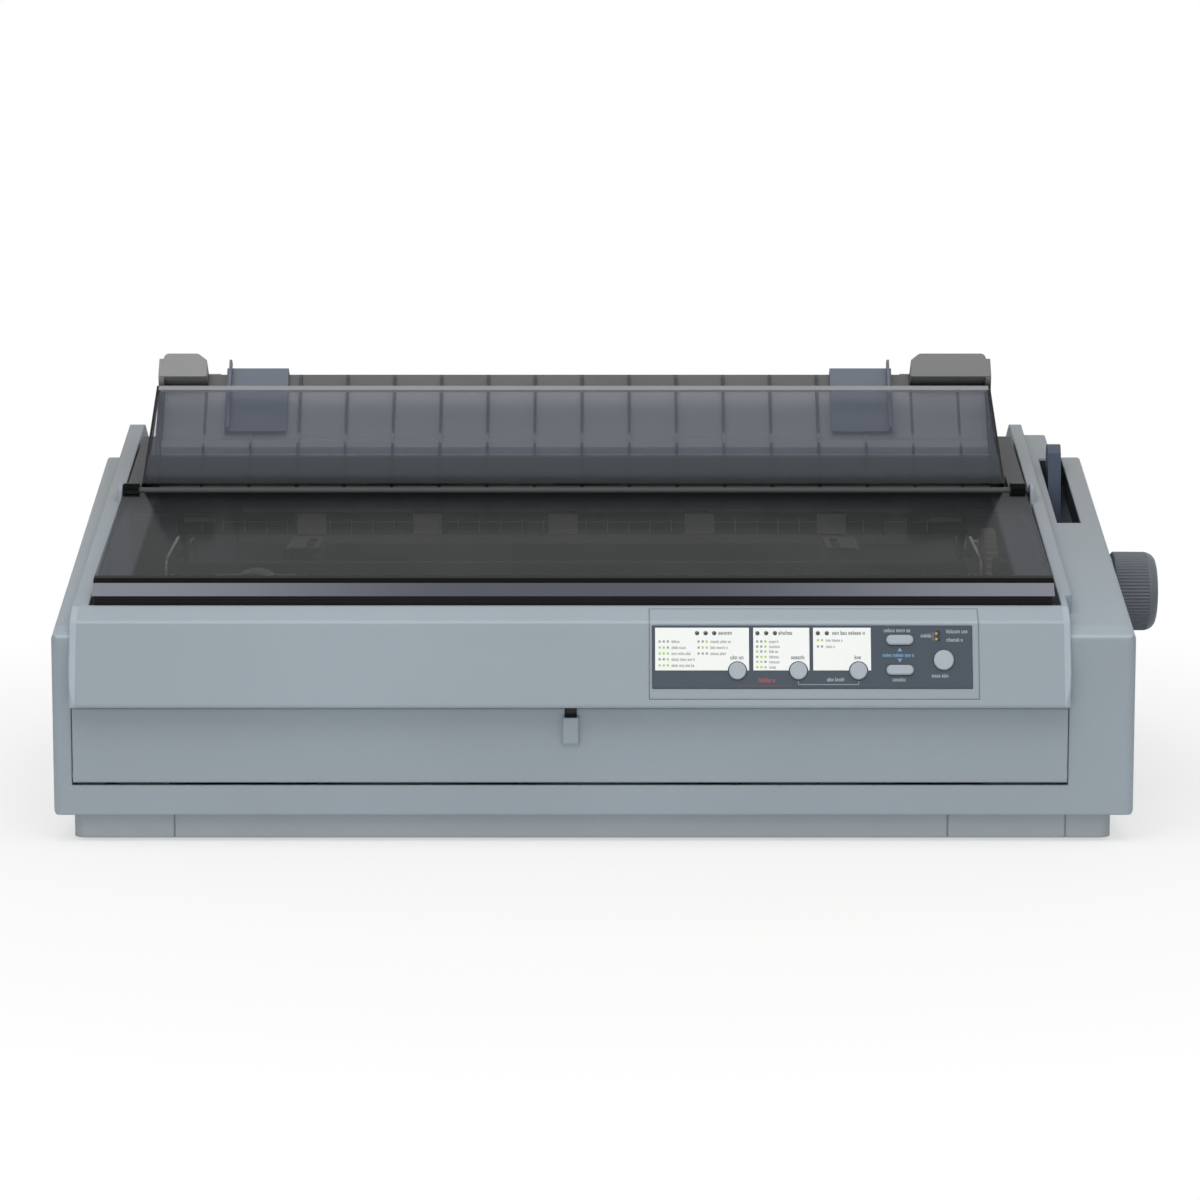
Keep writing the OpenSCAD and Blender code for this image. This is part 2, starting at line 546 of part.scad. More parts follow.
// how far the meshing gear is turned so that a gap meets the platen gear's tooth
function platen_phase(turn) = ((turn * platen_teeth / 360) - floor(turn * platen_teeth / 360)) *
  360 / pinion_teeth;
module idler_gear() color([0.85, 0.85, 0.80]) gear_x_axis(idler_teeth, idler_axis, 180 + half_idler,
  4 + running);
module tractor_shaft() color(tone_steel) {
  gear_x_axis(tractor_teeth, tractor_axis, 180 + 180 / tractor_teeth + idler_offset, 2.9);
  rod_x(-272, 226, tractor_axis.x, tractor_axis.y, 3);
  translate([-263, tractor_axis.x - 3, tractor_axis.y - 3]) cube([472, 6, 6]);
}
// the idler's tooth seen from the tractor shaft's side
idler_offset = ((180 + half_idler) * idler_teeth / 360 - floor((180 + half_idler) * idler_teeth / 360)) *
  360 / tractor_teeth;
module feed_motor() color(tone_dark) difference() {
  union() {
    box([172, motor_axis.x - 21, motor_axis.y - 21], [211, motor_axis.x + 21, motor_axis.y + 21]);
    rod_x(211 - eps, 212.4, motor_axis.x, motor_axis.y, 11);
    box([211 - eps, motor_axis.x - 28, motor_axis.y - 6], [213.4, motor_axis.x - 14, motor_axis.y + 6]);
    box([211 - eps, motor_axis.x + 14, motor_axis.y - 6], [213.4, motor_axis.x + 28, motor_axis.y + 6]);
  }
  rod_x(199, 214, motor_axis.x, motor_axis.y, 2 + running);
}
module frame_side(x0, x1, right) color(tone_steel) difference() {
  along_x(x0, x1) polygon(rounded([[-140, 30], [-140, 112], [-70, 112], [-62, 145], [10, 150],
    [24, 138], [104, 138], [112, 110], [112, 30]], [3, 8, 6, 6, 6, 6, 8, 8, 3]));
  rod_x(-300, 300, knob_axis.x, knob_axis.y, 8);
  rod_x(-300, 300, rail_axis.x, rail_axis.y, rail_r);
  rod_x(-300, 300, tractor_axis.x, tractor_axis.y, 3 + running);
  rod_x(-300, 300, tractor_rod.x, tractor_rod.y, 3);
  rod_x(-300, 300, bail_pivot.x, bail_pivot.y, 3 + running);
  rod_x(-300, 300, -10, 55, 10);
  if (right) {
    rod_x(-300, 300, lever_pivot.x, lever_pivot.y, 4 + running);
    rod_x(-300, 300, motor_axis.x, motor_axis.y, 11.2);
  }
}
rail_axis = [-98, 98];
tractor_rod = [84, 117];
bail_pivot = [-2, 141];
module side_frame_left() frame_side(-268, -266.4, false);
module side_frame_right() {
  frame_side(213.4, 215, true);
  color(tone_steel) difference() {
    rod_x(215 - eps, 226, idler_axis.x, idler_axis.y, 4);
    rod_x(215, 227, idler_axis.x, idler_axis.y, 1.4);
  }
}
module base_frame() color(tone_steel) difference() {
  union() {
    box([-266.4, -140, 40], [213.4, 112, 41.6]);
    box([-266.4, 110.4, 40], [213.4, 112, 60]);
    for (x = [-266.4, 211.8]) box([x, -130, 40], [x + 1.6, 100, 56]);
  }
  for (x = [-255, 205], y = [-120, 100]) rod_z(x, y, 39, 42, 1.6);
  for (x = [-160, -40, 80], y = [-70, 20]) box([x, y, 39], [x + 58, y + 58, 43]);
}
module front_rail() color(tone_steel) {
  box([-266.4, -137, 90], [213.4, -125, 92]);
  box([-266.4, -138.6, 84], [213.4, -137 + eps, 92]);
  box([182, -125 - eps, 90], [198, -113, 92]);
  rod_z(190, -120, 78, 90 + eps, 2.5);
}
module guide_shafts() color([0.8, 0.81, 0.83]) {
  rod_x(-272, 222, rail_axis.x, rail_axis.y, rail_r);
  rod_x(-270, 216, tractor_rod.x, tractor_rod.y, 3);
}
belt_y = -120;
belt_x = [-244, 190];
belt_z = [80, 86];
module drive_belt() color(tone_dark) translate([0, 0, belt_z[0]]) linear_extrude(belt_z[1] - belt_z[0])
  difference() {
    belt_shape(belt_r + 1);
    belt_shape(belt_r);
  }
module belt_shape(r) {
  for (x = belt_x) translate([x, belt_y]) circle(r);
  translate([belt_x[0], belt_y - r]) square([belt_x[1] - belt_x[0], 2 * r]);
}
module pulley(x, bore) {
  difference() {
    translate([x, belt_y, 0]) rotate_extrude() polygon([[0, 78.4], [10, 78.4], [10, 79.4], [7.7, 79.4],
      [7.7, 86.6], [10, 86.6], [10, 87.6], [0, 87.6]]);
    if (bore > 0) rod_z(x, belt_y, 70, 95, bore);
  }
}
module drive_pulley() color([0.85, 0.85, 0.80]) {
  pulley(belt_x[0], 0);
  rod_z(belt_x[0], belt_y, 60, 79, 2.5);
}
module idler_pulley() color([0.85, 0.85, 0.80]) pulley(belt_x[1], 2.5 + running);
module carriage_motor() color(tone_dark) difference() {
  union() {
    box([-264.5, -140.5, 43], [-223.5, -99.5, 76]);
    rod_z(belt_x[0], belt_y, 76 - eps, 77.6, 11);
  }
  rod_z(belt_x[0], belt_y, 58, 80, 2.5 + running);
}
module front_ramp() color([0.3, 0.31, 0.32]) along_x(-205, 165) polygon([[-178, 43], [-178, 44.5],
  [-122, 59.5], [-67, 97], [-66, 96], [-121.4, 58], [-136, 54.1], [-136, 41.6], [-137.5, 41.6],
  [-137.5, 53.7]]);
module rear_ramp() color([0.3, 0.31, 0.32])
  along_x(-240, 190) polygon([[176, 158.4], [176, 160.4], [104, 139.6], [99, 134], [100.5, 133.6],
    [105, 138]]);
module tractor(x0, side) {
  pin_x = side < 0 ? x0 + 15 : x0 + 7;
  color(tone_dark) difference() {
    union() {
      along_x(x0, x0 + 22) polygon(rounded([[30, 112], [30, 134], [96, 134], [96, 112], [88, 108],
        [44, 108]], [4, 6, 6, 4, 3, 6]));
      for (i = [0:3]) translate([pin_x, 40 + i * pin_pitch, 134 - eps]) cylinder(h = 2.4, r1 = 2,
        r2 = 1.2);
      // knuckles of the door
      hinge_x = side < 0 ? x0 + 2 : x0 + 20;
      for (y = [31, 91]) difference() {
        union() {
          rod_y(hinge_x, y, y + 4, 137.6, 2);
          box([hinge_x - 2, y, 133], [hinge_x + 2, y + 4, 137.6]);
        }
        rod_y(hinge_x, y - 1, y + 5, 137.6, 1 + running);
      }
    }
    rod_x(x0 - 1, x0 + 23, tractor_axis.x, tractor_axis.y, 5.2);
    rod_x(x0 - 1, x0 + 23, tractor_rod.x, tractor_rod.y, 3 + running);
  }
}
module tractor_door(x0, side) color([0.22, 0.23, 0.24]) {
  hinge_x = side < 0 ? x0 + 2 : x0 + 20;
  pin_x = side < 0 ? x0 + 15 : x0 + 7;
  difference() {
    union() {
      box([side < 0 ? hinge_x : x0 + 1, 35.4, 137.6], [side < 0 ? x0 + 21 : hinge_x, 90.6, 139.6]);
      rod_y(hinge_x, 35.4, 90.6, 137.6, 2);
    }
    box([pin_x - 2.5, 37, 134], [pin_x + 2.5, 81, 142]);
  }
  rod_y(hinge_x, 31.4, 94.6, 137.6, 1);
}
tractor_x = [-205, 128];
module tractor_left() tractor(tractor_x[0], -1);
module tractor_right() tractor(tractor_x[1], 1);
module tractor_left_door() tractor_door(tractor_x[0], -1);
module tractor_right_door() tractor_door(tractor_x[1], 1);

// tension unit above the platen
tension_axis = [-30, 163.6];
roller_x = [-113.5, -32.9, 48.2, 126.9];
tick_pitch = 12.7;
module tension_bar() color([0.2, 0.2, 0.2]) difference() {
  union() {
    box([-240, -40.6, 157], [185, -39, 170.2]);
    for (x = [-262.5, 205]) along_x(x, x + 3) hull() {
      translate([bail_pivot.x, bail_pivot.y]) circle(6);
      translate([tension_axis.x, tension_axis.y]) circle(5);
    }
    box([-262.5, -41, 157.6], [-239.9, -38, 164]);
    box([184.9, -41, 157.6], [208, -38, 164]);
    for (x = [-262.5, 205]) along_x(x, x + 3) polygon([[-41, 157.6], [-41, 164], [-30, 168.6],
      [-28, 158]]);
    rod_x(-267.4, -259.6, bail_pivot.x, bail_pivot.y, 3);
    rod_x(205.1, 214.4, bail_pivot.x, bail_pivot.y, 3);
  }
  rod_x(-262, 207, tension_axis.x, tension_axis.y, 2.5 + running);
}
module tension_rollers() color([0.80, 0.80, 0.76]) {
  for (x = roller_x) rod_x(x - 8, x + 8, tension_axis.x, tension_axis.y, 7);
  rod_x(-261.6, 206.6, tension_axis.x, tension_axis.y, 2.5);
}

// ---- carriage ----
head_z = knob_axis.y;
module carriage() color([0.18, 0.19, 0.2]) difference() {
  union() {
    box([carriage_x - 27, -111, 90], [carriage_x + 27, -85, 107.9]);
    box([carriage_x - 14, -136, 92.3], [carriage_x + 14, -110.9, 98]);
    box([carriage_x - 8, -115, 78.6], [carriage_x + 8, -108, 90.1]);
    box([carriage_x - 14, -85.1, 100], [carriage_x + 14, -83.9, 107.9]);
    box([carriage_x - 14, -84, 100], [carriage_x + 14, -72, 113]);
  }
  rod_x(carriage_x - 30, carriage_x + 30, rail_axis.x, rail_axis.y, rail_r + running);
  box([carriage_x - 9, -112.3, 79.7], [carriage_x + 9, -110.7, 86.3]);
}
module print_head() color([0.35, 0.36, 0.37]) {
  box([carriage_x - 12, -106, 107.9], [carriage_x + 12, -86, 112]);
  rod_y(carriage_x, -108, -84, head_z + 2, 17.4);
  box([carriage_x - 9, -84.1, head_z - 9], [carriage_x + 9, -72, head_z + 9]);
  box([carriage_x - 4, -72.1, head_z - 6], [carriage_x + 4, -63.6, head_z + 6]);
  for (i = [0:4]) box([carriage_x - 23, -106.5 + i * 5, 112], [carriage_x + 23, -104.7 + i * 5,
    head_z + 16]);
}
module ribbon_cartridge() color(tone_dark) {
  box([-262, -168, 102], [208, -116, 124]);
  for (x = [[-262, -244], [192, 208]]) box([x[0], -116.1, 106], [x[1], -62.3, 130]);
  box([-266.4, -132, 104], [-261.9, -120, 110]);
  box([207.9, -132, 104], [213.4, -120, 110]);
  box([-244.1, -62.7, 117], [192.1, -62.3, 130]); // inked ribbon
  difference() {
    rod_z(-236, -143, 123.9, 127, 12);
    rod_z(-236, -143, 120, 128, 2 + running);
  }
}
module ribbon_knob() color([0.3, 0.31, 0.33]) {
  rod_z(-236, -143, 127.2, 134, 8);
  rod_z(-236, -143, 124.2, 127.3, 2);
  for (i = [0:11]) translate([-236, -143, 127.2]) rotate(i * 30) translate([7.4, -0.8, 0]) cube([1.4, 1.6,
    6]);
}

// ---- levers ----
module release_lever() color(tone_blue) {
  along_x(266, 274) polygon(rounded([[10, 56], [12, 75], [46, 150], [53, 196], [56, 201], [62, 201],
    [66, 196], [64, 150], [32, 60], [24, 52]], [6, 4, 20, 3, 2, 2, 3, 20, 6, 4]));
  rod_x(262, 278.4, lever_pivot.x, lever_pivot.y, 9);
  rod_x(209, 286, lever_pivot.x, lever_pivot.y, 4);
}
module thickness_lever() color([0.3, 0.31, 0.33]) difference() {
  union() {
    rod_x(216.4, 220, rail_axis.x, rail_axis.y, 10);
    along_x(216.4, 219.4) polygon([[-106, 96], [-114, 148], [-106, 148], [-92, 100]]);
    rod_x(216.4, 224, -110, 148, 4);
  }
  rod_x(216, 225, rail_axis.x, rail_axis.y, rail_r + running);
}

// ---- electronics ----
module main_board() color(tone_board) {
  difference() {
    box([-264, 32, 14], [-32, 193, 15.6]);
    for (x = [-260, -150, -45], y = [36, 186]) rod_z(x, y, 13, 17, 1.6);
    rod_z(boss_x[0], 100, 13, 17, 7.5);
  }
  for (x = [-220, -185]) box([x, 80, 15.5], [x + 24, 104, 18]);
  for (x = [-130:24:-60]) rod_z(x, 60, 15.5, 34, 8);
  box([-150, 110, 15.5], [-60, 114, 34]);
  for (x = [-240:20:-170]) box([x, 44, 15.5], [x + 12, 52, 24]);
}
module power_supply() color(tone_steel) difference() {
  box([-8, 30, 8], [196, 180, 36]);
  for (i = [0:18]) box([4 + i * 10, 50, 34], [8 + i * 10, 160, 37]);
}
module power_inlet() color(tone_dark) {
  difference() {
    union() {
      box([inlet_x - 14.8, 181, 30.2], [inlet_x + 14.8, rear_wall, 53.8]);
      box([inlet_x - 18, rear_wall, 27.5], [inlet_x + 18, case_rear, 56.5]);
    }
    box([inlet_x - 12, 186, 34], [inlet_x + 12, 210, 50]);
  }
  // the switch's housing
  difference() {
    box([switch_x - 7.4, 182, 31.2], [switch_x + 7.4, rear_wall, 52.8]);
    box([switch_x - 6.2, 186, 31.8], [switch_x + 6.2, 210, 52.2]);
    rod_x(switch_x - 8, switch_x + 8, 193, 42, 2 + running);
  }
  for (x = [-7, 0, 7]) box([inlet_x + x - 1, 185.9, x == 0 ? 43 : 39], [inlet_x + x + 1, 198,
    x == 0 ? 47 : 43]);
}
module interface_ports() color(tone_steel) {
  difference() {
    box([-231.8, 180, port_z - 6.8], [-170.2, case_rear - 0.5, port_z + 6.8]);
    box([-226, 190, port_z - 4], [-176, 210, port_z + 4]);
  }
  difference() {
    box([-154.8, 180, port_z - 5.8], [-141.2, case_rear - 0.5, port_z + 5.8]);
    box([-152.5, 188, port_z - 4], [-143.5, 210, port_z + 4]);
  }
  for (x = [-228, -178]) box([x, 181, 15.6], [x + 6, 187.5, port_z - 6.7]);
  box([-151, 181, 15.6], [-145, 187.5, port_z - 5.7]);
}
module interface_cover() color(tone_case) {
  box([-109, rear_wall, 19], [-21, rear_wall + 1, 53]);
  for (x = [-105.6, -24.4]) rod_y(x, rear_wall + 1 - eps, case_rear, 36, 2.6);
}
module power_switch() color(tone_dark) {
  along_x(switch_x - 6, switch_x + 6) polygon([[190, 34], [190, 50], [197, 50.5], [200.6, 50],
    [198.6, 42], [198.2, 34], [196, 33.5]]);
  rod_x(switch_x - 7, switch_x + 7, 193, 42, 2);
}

lower_case();
rubber_feet();
upper_case();
panel_insert();
panel_bezel();
panel_labels();
panel_board();
hinge_rod();
base_frame();
side_frame_left();
side_frame_right();
platen_bushes();
feed_motor();
carriage_motor();
guide_shafts();
front_rail();
drive_belt();
front_ramp();
rear_ramp();
ribbon_cartridge();
main_board();
power_supply();
power_inlet();
interface_ports();
interface_cover();
case_screws();
front_cover();
printer_cover();
paper_guide();
guide_ends();
guide_cover();
edge_guide_left();
edge_guide_right();
platen_roller();
platen_shaft();
platen_gear();
platen_knob();
feed_pinion();
idler_gear();
tractor_shaft();
tractor_left();
tractor_right();
tractor_left_door();
tractor_right_door();
tension_bar();
tension_rollers();
carriage();
print_head();
drive_pulley();
idler_pulley();
release_lever();
thickness_lever();
power_switch();
ribbon_knob();
font_button();
pitch_button();
tear_off_button();
load_button();
feed_button();
pause_button();
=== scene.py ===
import json
import math
import random

import bmesh
import bpy
from mathutils import Matrix, Vector


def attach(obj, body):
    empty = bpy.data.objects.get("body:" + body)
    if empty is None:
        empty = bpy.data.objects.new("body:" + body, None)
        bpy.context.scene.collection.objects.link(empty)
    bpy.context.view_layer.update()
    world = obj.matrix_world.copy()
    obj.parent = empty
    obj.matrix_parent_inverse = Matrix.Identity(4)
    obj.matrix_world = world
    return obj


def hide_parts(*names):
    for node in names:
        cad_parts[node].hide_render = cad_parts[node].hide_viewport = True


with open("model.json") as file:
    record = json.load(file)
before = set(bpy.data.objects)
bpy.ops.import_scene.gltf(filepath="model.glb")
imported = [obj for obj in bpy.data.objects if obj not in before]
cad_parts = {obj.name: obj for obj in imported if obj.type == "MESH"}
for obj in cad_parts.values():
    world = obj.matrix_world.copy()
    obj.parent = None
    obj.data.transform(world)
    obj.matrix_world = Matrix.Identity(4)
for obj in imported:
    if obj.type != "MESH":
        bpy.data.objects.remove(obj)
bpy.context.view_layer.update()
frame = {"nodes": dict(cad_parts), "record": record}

mm = 0.001
print("frame loaded,", len(frame["nodes"]), "solids")


class Signal:  # an output socket that can be used in sums
    def __init__(self, board, socket):
        self.board = board
        self.socket = socket

    def sum(self, operation, first, second):
        return self.board.node("ShaderNodeMath", {"operation": operation}, {0: first, 1: second})

    def __add__(self, other):
        return self.sum("ADD", self, other)

    def __sub__(self, other):
        return self.sum("SUBTRACT", self, other)

    def __rsub__(self, other):
        return self.sum("SUBTRACT", other, self)

    def __mul__(self, other):
        return self.sum("MULTIPLY", self, other)

    def __truediv__(self, other):
        return self.sum("DIVIDE", self, other)

    def above(self, other):  # 1 where it is more, else 0
        return self.sum("GREATER_THAN", self, other)

    def below(self, other):
        return self.sum("LESS_THAN", self, other)

    def through(self, operation):  # FRACT, ABSOLUTE or SQRT
        return self.board.node("ShaderNodeMath", {"operation": operation}, {0: self})

    def clipped(self):
        return self.board.node("ShaderNodeClamp", {}, {"Value": self})

    def between(self, low, high):  # 0 at low, 1 at high, smooth
        return self.board.node("ShaderNodeMapRange", {"interpolation_type": "SMOOTHSTEP"},
                               {"Value": self, "From Min": low, "From Max": high})


class Board:  # a node tree and the nodes made on it
    def __init__(self, tree):
        self.tree = tree
        self.tree.nodes.clear()

    def node(self, kind, settings=None, values=None, output=0):
        made = self.tree.nodes.new(kind)
        for key, value in (settings or {}).items():
            setattr(made, key, value)
        for key, value in (values or {}).items():
            socket = made.inputs[key]
            if isinstance(value, Signal):
                self.tree.links.new(value.socket, socket)
            else:
                socket.default_value = value
        return Signal(self, made.outputs[output]) if made.outputs else None

    def split(self, vector):
        parts = self.node("ShaderNodeSeparateXYZ", {}, {"Vector": vector})
        return [Signal(self, parts.socket.node.outputs[i]) for i in range(3)]

    def place(self):
        return self.node("ShaderNodeTexCoord", output="Object")

    def axes(self):  # x, y and z in metres
        return self.split(self.place())

    def facing(self):  # the surface's direction
        return self.split(self.node("ShaderNodeNewGeometry", output="Normal"))

    def noise(self, scale, detail=2.0, stretch=None):
        spot = self.place()
        if stretch:
            spot = self.node("ShaderNodeMapping", {}, {"Vector": spot, "Scale": stretch})
        return self.node("ShaderNodeTexNoise", {}, {"Vector": spot, "Scale": scale, "Detail": detail})

    def cells(self, scale, output):
        return self.node("ShaderNodeTexVoronoi", {"feature": "F1"}, {"Vector": self.place(), "Scale": scale},
                         output=output)

    def grey(self, colour):
        return self.node("ShaderNodeRGBToBW", {}, {"Color": colour})

    def mixed(self, factor, first, second):  # colours
        return self.node("ShaderNodeMix", {"data_type": "RGBA"}, {0: factor, 6: first, 7: second}, output=2)

    def roundedNormal(self, radius):
        return self.node("ShaderNodeBevel", {"samples": 6}, {"Radius": radius})

    def edgeMask(self, rounded, gain):
        flat = self.node("ShaderNodeNewGeometry", output="Normal")
        match = self.node("ShaderNodeVectorMath", {"operation": "DOT_PRODUCT"}, {0: rounded, 1: flat},
                          output="Value")
        return ((1.0 - match) * gain).clipped()

    def bump(self, height, depth, strength=1.0, normal=None):  # depth in mm
        values = {"Height": height, "Distance": depth * mm, "Strength": strength}
        if normal:
            values["Normal"] = normal
        return self.node("ShaderNodeBump", {}, values)

    def shown(self, kind, shader):
        self.node(kind, {}, {"Surface": shader})


class Finish(Board):  # one material
    def __init__(self, name):
        self.material = bpy.data.materials.new(name)
        self.material.use_nodes = True
        super().__init__(self.material.node_tree)

    def surface(self, values):
        self.shown("ShaderNodeOutputMaterial", self.node("ShaderNodeBsdfPrincipled", {}, values))
        return self.material


def shade(colour, factor):
    return tuple(min(1.0, c * factor) for c in colour[:3]) + (1.0,)


def fromScreen(red, green, blue):  # 0 to 255 as seen, to linear
    def one(value):
        value = value / 255
        return value / 12.92 if value <= 0.04045 else ((value + 0.055) / 1.055) ** 2.4
    return (one(red), one(green), one(blue), 1.0)


caseLook = {
    "colour": fromScreen(153, 164, 173),
    "lowerColour": fromScreen(158, 167, 174),
    "roughness": 0.52,
    "lowerRoughness": 0.56,
    "grainSize": 0.45,  # mm, spark-eroded texture
    "grainDepth": 0.016,  # mm
    "lowerGrainDepth": 0.018,
    "edgeRadius": 1.6,  # mm
    # edges lighter from wear and from a painted highlight
    "wear": 0.28,
    "polish": 0.55,
}
plasticLook = {
    "grainDetail": 3.0,
    "grainRange": (0.35, 0.75),
    "grainTone": 1.12,
    "grainShare": 0.10,
    "grainRoughness": 0.04,
    "cloud": (9.0, 3.0),
    "cloudRange": (0.3, 0.7),
    "cloudTones": (0.975, 1.02),
    "handling": (70.0, 4.0),
    "handlingRoughness": 0.10,
    "edgeGain": 2.5,
    "wornAndHighlightTone": 1.35,
    "highlightTone": 1.6,
    "specular": 0.4,
}


def mouldedPlastic(name, colour, roughness, grainSize, grainDepth, edgeRadius=0.0, wear=0.0,
                   shadeMask=None, shadeColour=None, polishMask=None):
    look = plasticLook
    f = Finish(name)
    grain = f.noise(1000 / grainSize, look["grainDetail"])
    cloud = f.noise(*look["cloud"])
    handling = f.noise(*look["handling"])
    darkest, lightest = look["cloudTones"]
    tone = f.mixed(cloud.between(*look["cloudRange"]), shade(colour, darkest), shade(colour, lightest))
    tone = f.mixed(grain.between(*look["grainRange"]) * look["grainShare"], tone,
                   shade(colour, look["grainTone"]))
    spread = look["handlingRoughness"]
    values = {"Roughness": handling * spread + (roughness - spread / 2) + grain * look["grainRoughness"],
              "Specular IOR Level": look["specular"]}
    if edgeRadius:
        rounded = f.roundedNormal(edgeRadius * mm)
        # lighter rounded edges: wear, and a painted highlight
        tone = f.mixed(f.edgeMask(rounded, look["edgeGain"]) * wear, tone, shade(colour, look["wornAndHighlightTone"]))
        values["Normal"] = f.bump(grain, grainDepth, 1.0, rounded)
    else:
        values["Normal"] = f.bump(grain, grainDepth)
    # painted highlight along the panel's top edge, then settled dust on upward faces
    if polishMask:
        tone = f.mixed(polishMask(f) * caseLook["polish"], tone, shade(colour, look["highlightTone"]))
        tone = f.mixed(settledDust(f), tone, dustLook["colour"])
    if shadeMask:
        tone = f.mixed(shadeMask(f), tone, shadeColour)
    values["Base Color"] = tone
    return f.surface(values)


def casePlastic(name, **masks):
    return mouldedPlastic(name, caseLook["colour"], caseLook["roughness"], caseLook["grainSize"],
                          caseLook["grainDepth"], caseLook["edgeRadius"], caseLook["wear"], **masks)


# places in the masks are in metres
# the lever's slot; its colour is painted shade on the slot's walls
leverSlot = {"left": 0.2627, "right": 0.2776, "front": -0.0263, "back": 0.0793, "depth": 0.0015,
             "deck": (-0.0646, 0.152), "slope": 14.9, "colour": fromScreen(24, 30, 32)}


def paintedSlotShade(f):  # painted shade: 1 on the walls of the lever's slot
    x, y, z = f.axes()
    deckY, deckZ = leverSlot["deck"]
    deck = (y - deckY) * math.tan(math.radians(leverSlot["slope"])) + deckZ
    across = x.above(leverSlot["left"]) * x.below(leverSlot["right"])
    along = y.above(leverSlot["front"]) * y.below(leverSlot["back"])
    return across * along * (deck - z).above(leverSlot["depth"])


# where the painted highlight lies on the panel's top edge and its ends
edgeHighlightLook = {"front": -0.176, "low": 0.079, "high": 0.135, "left": (-0.3086, -0.3048),
              "right": (0.2488, 0.2526), "turnStart": (0.31, 0.42), "turnEnd": (0.50, 0.64), "flat": 0.22,
              "ends": 0.8}
dustLook = {"colour": fromScreen(134, 135, 134), "upward": (0.5, 0.9), "reach": (-0.20, 0.06), "most": 0.6}


def paintedEdgeHighlight(f):  # painted highlight: 1 on the lower half of the panel's rounded top edge, less on its ends; the upward faces above it get a little of it too
    x, y, z = f.axes()
    up = f.facing()[2]
    turn = up.between(*edgeHighlightLook["turnStart"]) * (1.0 - up.between(*edgeHighlightLook["turnEnd"]))
    turn = turn + up.between(*edgeHighlightLook["turnEnd"]) * edgeHighlightLook["flat"]
    near = y.below(edgeHighlightLook["front"]) * z.below(edgeHighlightLook["high"]) * z.above(edgeHighlightLook["low"])
    left = x.above(edgeHighlightLook["left"][0]) * x.below(edgeHighlightLook["left"][1])
    right = x.above(edgeHighlightLook["right"][0]) * x.below(edgeHighlightLook["right"][1])
    ends = left + right
    return (turn * (1.0 - ends) + ends * edgeHighlightLook["ends"]) * near


def settledDust(f):  # more on upward faces towards the back
    y = f.axes()[1]
    up = f.facing()[2]
    return up.between(*dustLook["upward"]) * y.between(*dustLook["reach"]) * dustLook["most"]


# the slot over the front cover's tab; its colour is painted shade
tabSlot = {"left": -0.0310, "right": -0.0242, "low": 0.0722, "high": 0.0782, "front": -0.1866,
           "colour": fromScreen(30, 34, 37)}


def paintedTabSlotShade(f):  # painted shade: 1 in the slot over the front cover's tab
    x, y, z = f.axes()
    across = x.above(tabSlot["left"]) * x.below(tabSlot["right"])
    return across * z.above(tabSlot["low"]) * z.below(tabSlot["high"]) * y.below(tabSlot["front"])


# darker arms, with painted shade on the right cap
armLook = {"capFoot": (0.236, 0.243), "rightCapShade": 0.36, "colour": fromScreen(46, 48, 50)}


def darkArmsAndShadedRightCap(f):  # 1 on the paper guide's darker arms, less on the right cap as painted shade, 0 on the left one
    x, _, z = f.axes()
    return ((1.0 - z.between(*armLook["capFoot"])) + x.above(0.0) * armLook["rightCapShade"]).clipped()


guideSheetLook = {
    "covered": fromScreen(146, 149, 152),
    "bare": fromScreen(89, 91, 92),
    "ribShade": fromScreen(38, 41, 46),
    "coverTop": 0.0750,
    "blend": 0.0005,
    "grain": (2000.0, 3.0),
    "grainDepth": 0.014,  # mm
    "cloudTone": 1.1,
    "cloudShare": 0.1,
    "roughness": (0.06, 0.46),  # spread and least
    "specular": 0.3,
}
# the ribs' lines are painted shade, lighter at the bend as a painted highlight
ribLook = {"middle": -0.0363, "pitch": 0.02894, "half": 0.0009, "foot": (-0.003, 0.1835), "rise": 52.2,
           "bendStart": (0.0335, 0.0365), "bendEnd": (0.0425, 0.0455), "bendHighlight": 0.8, "strength": 0.8}


def guideAxes(f):  # across the guide and up its slope, in metres
    x, y, z = f.axes()
    rise = math.radians(ribLook["rise"])
    footY, footZ = ribLook["foot"]
    return x, (y - footY) * math.cos(rise) + (z - footZ) * math.sin(rise)


def ribShadeLines(f, along):  # painted shade: 1 on the ribs, less where the sheet bends forward, as a painted highlight there
    x = f.axes()[0]
    turn = ((x - ribLook["middle"]) / ribLook["pitch"]).through("FRACT")
    offset = (turn - 0.5).through("ABSOLUTE")
    bend = along.between(*ribLook["bendStart"]) * (1.0 - along.between(*ribLook["bendEnd"]))
    onRib = (offset * ribLook["pitch"]).below(ribLook["half"])
    return onRib * (1.0 - bend * ribLook["bendHighlight"]) * ribLook["strength"]


def guideSheet(name):
    look = guideSheetLook
    f = Finish(name)
    along = guideAxes(f)[1]
    grain = f.noise(*look["grain"])
    cloud = f.noise(*plasticLook["cloud"])
    bare = along.between(look["coverTop"] - look["blend"], look["coverTop"] + look["blend"])
    tone = f.mixed(bare, look["covered"], look["bare"])
    tone = f.mixed(cloud.between(*plasticLook["cloudRange"]) * look["cloudShare"], tone,
                   shade(look["covered"], look["cloudTone"]))
    tone = f.mixed(ribShadeLines(f, along), tone, look["ribShade"])
    spread, least = look["roughness"]
    return f.surface({
        "Base Color": tone,
        "Roughness": grain * spread + least,
        "Specular IOR Level": look["specular"],
        "Normal": f.bump(grain, look["grainDepth"]),
    })


scratchLook = {"range": (0.55, 0.8), "spread": 0.10, "depth": 0.004}


def hazedTone(f, haze, look):
    darkest, lightest = [shade(look["sheet"], factor) for factor in look["hazeTones"]]
    return f.mixed(haze.between(*look["hazeRange"]), darkest, lightest)


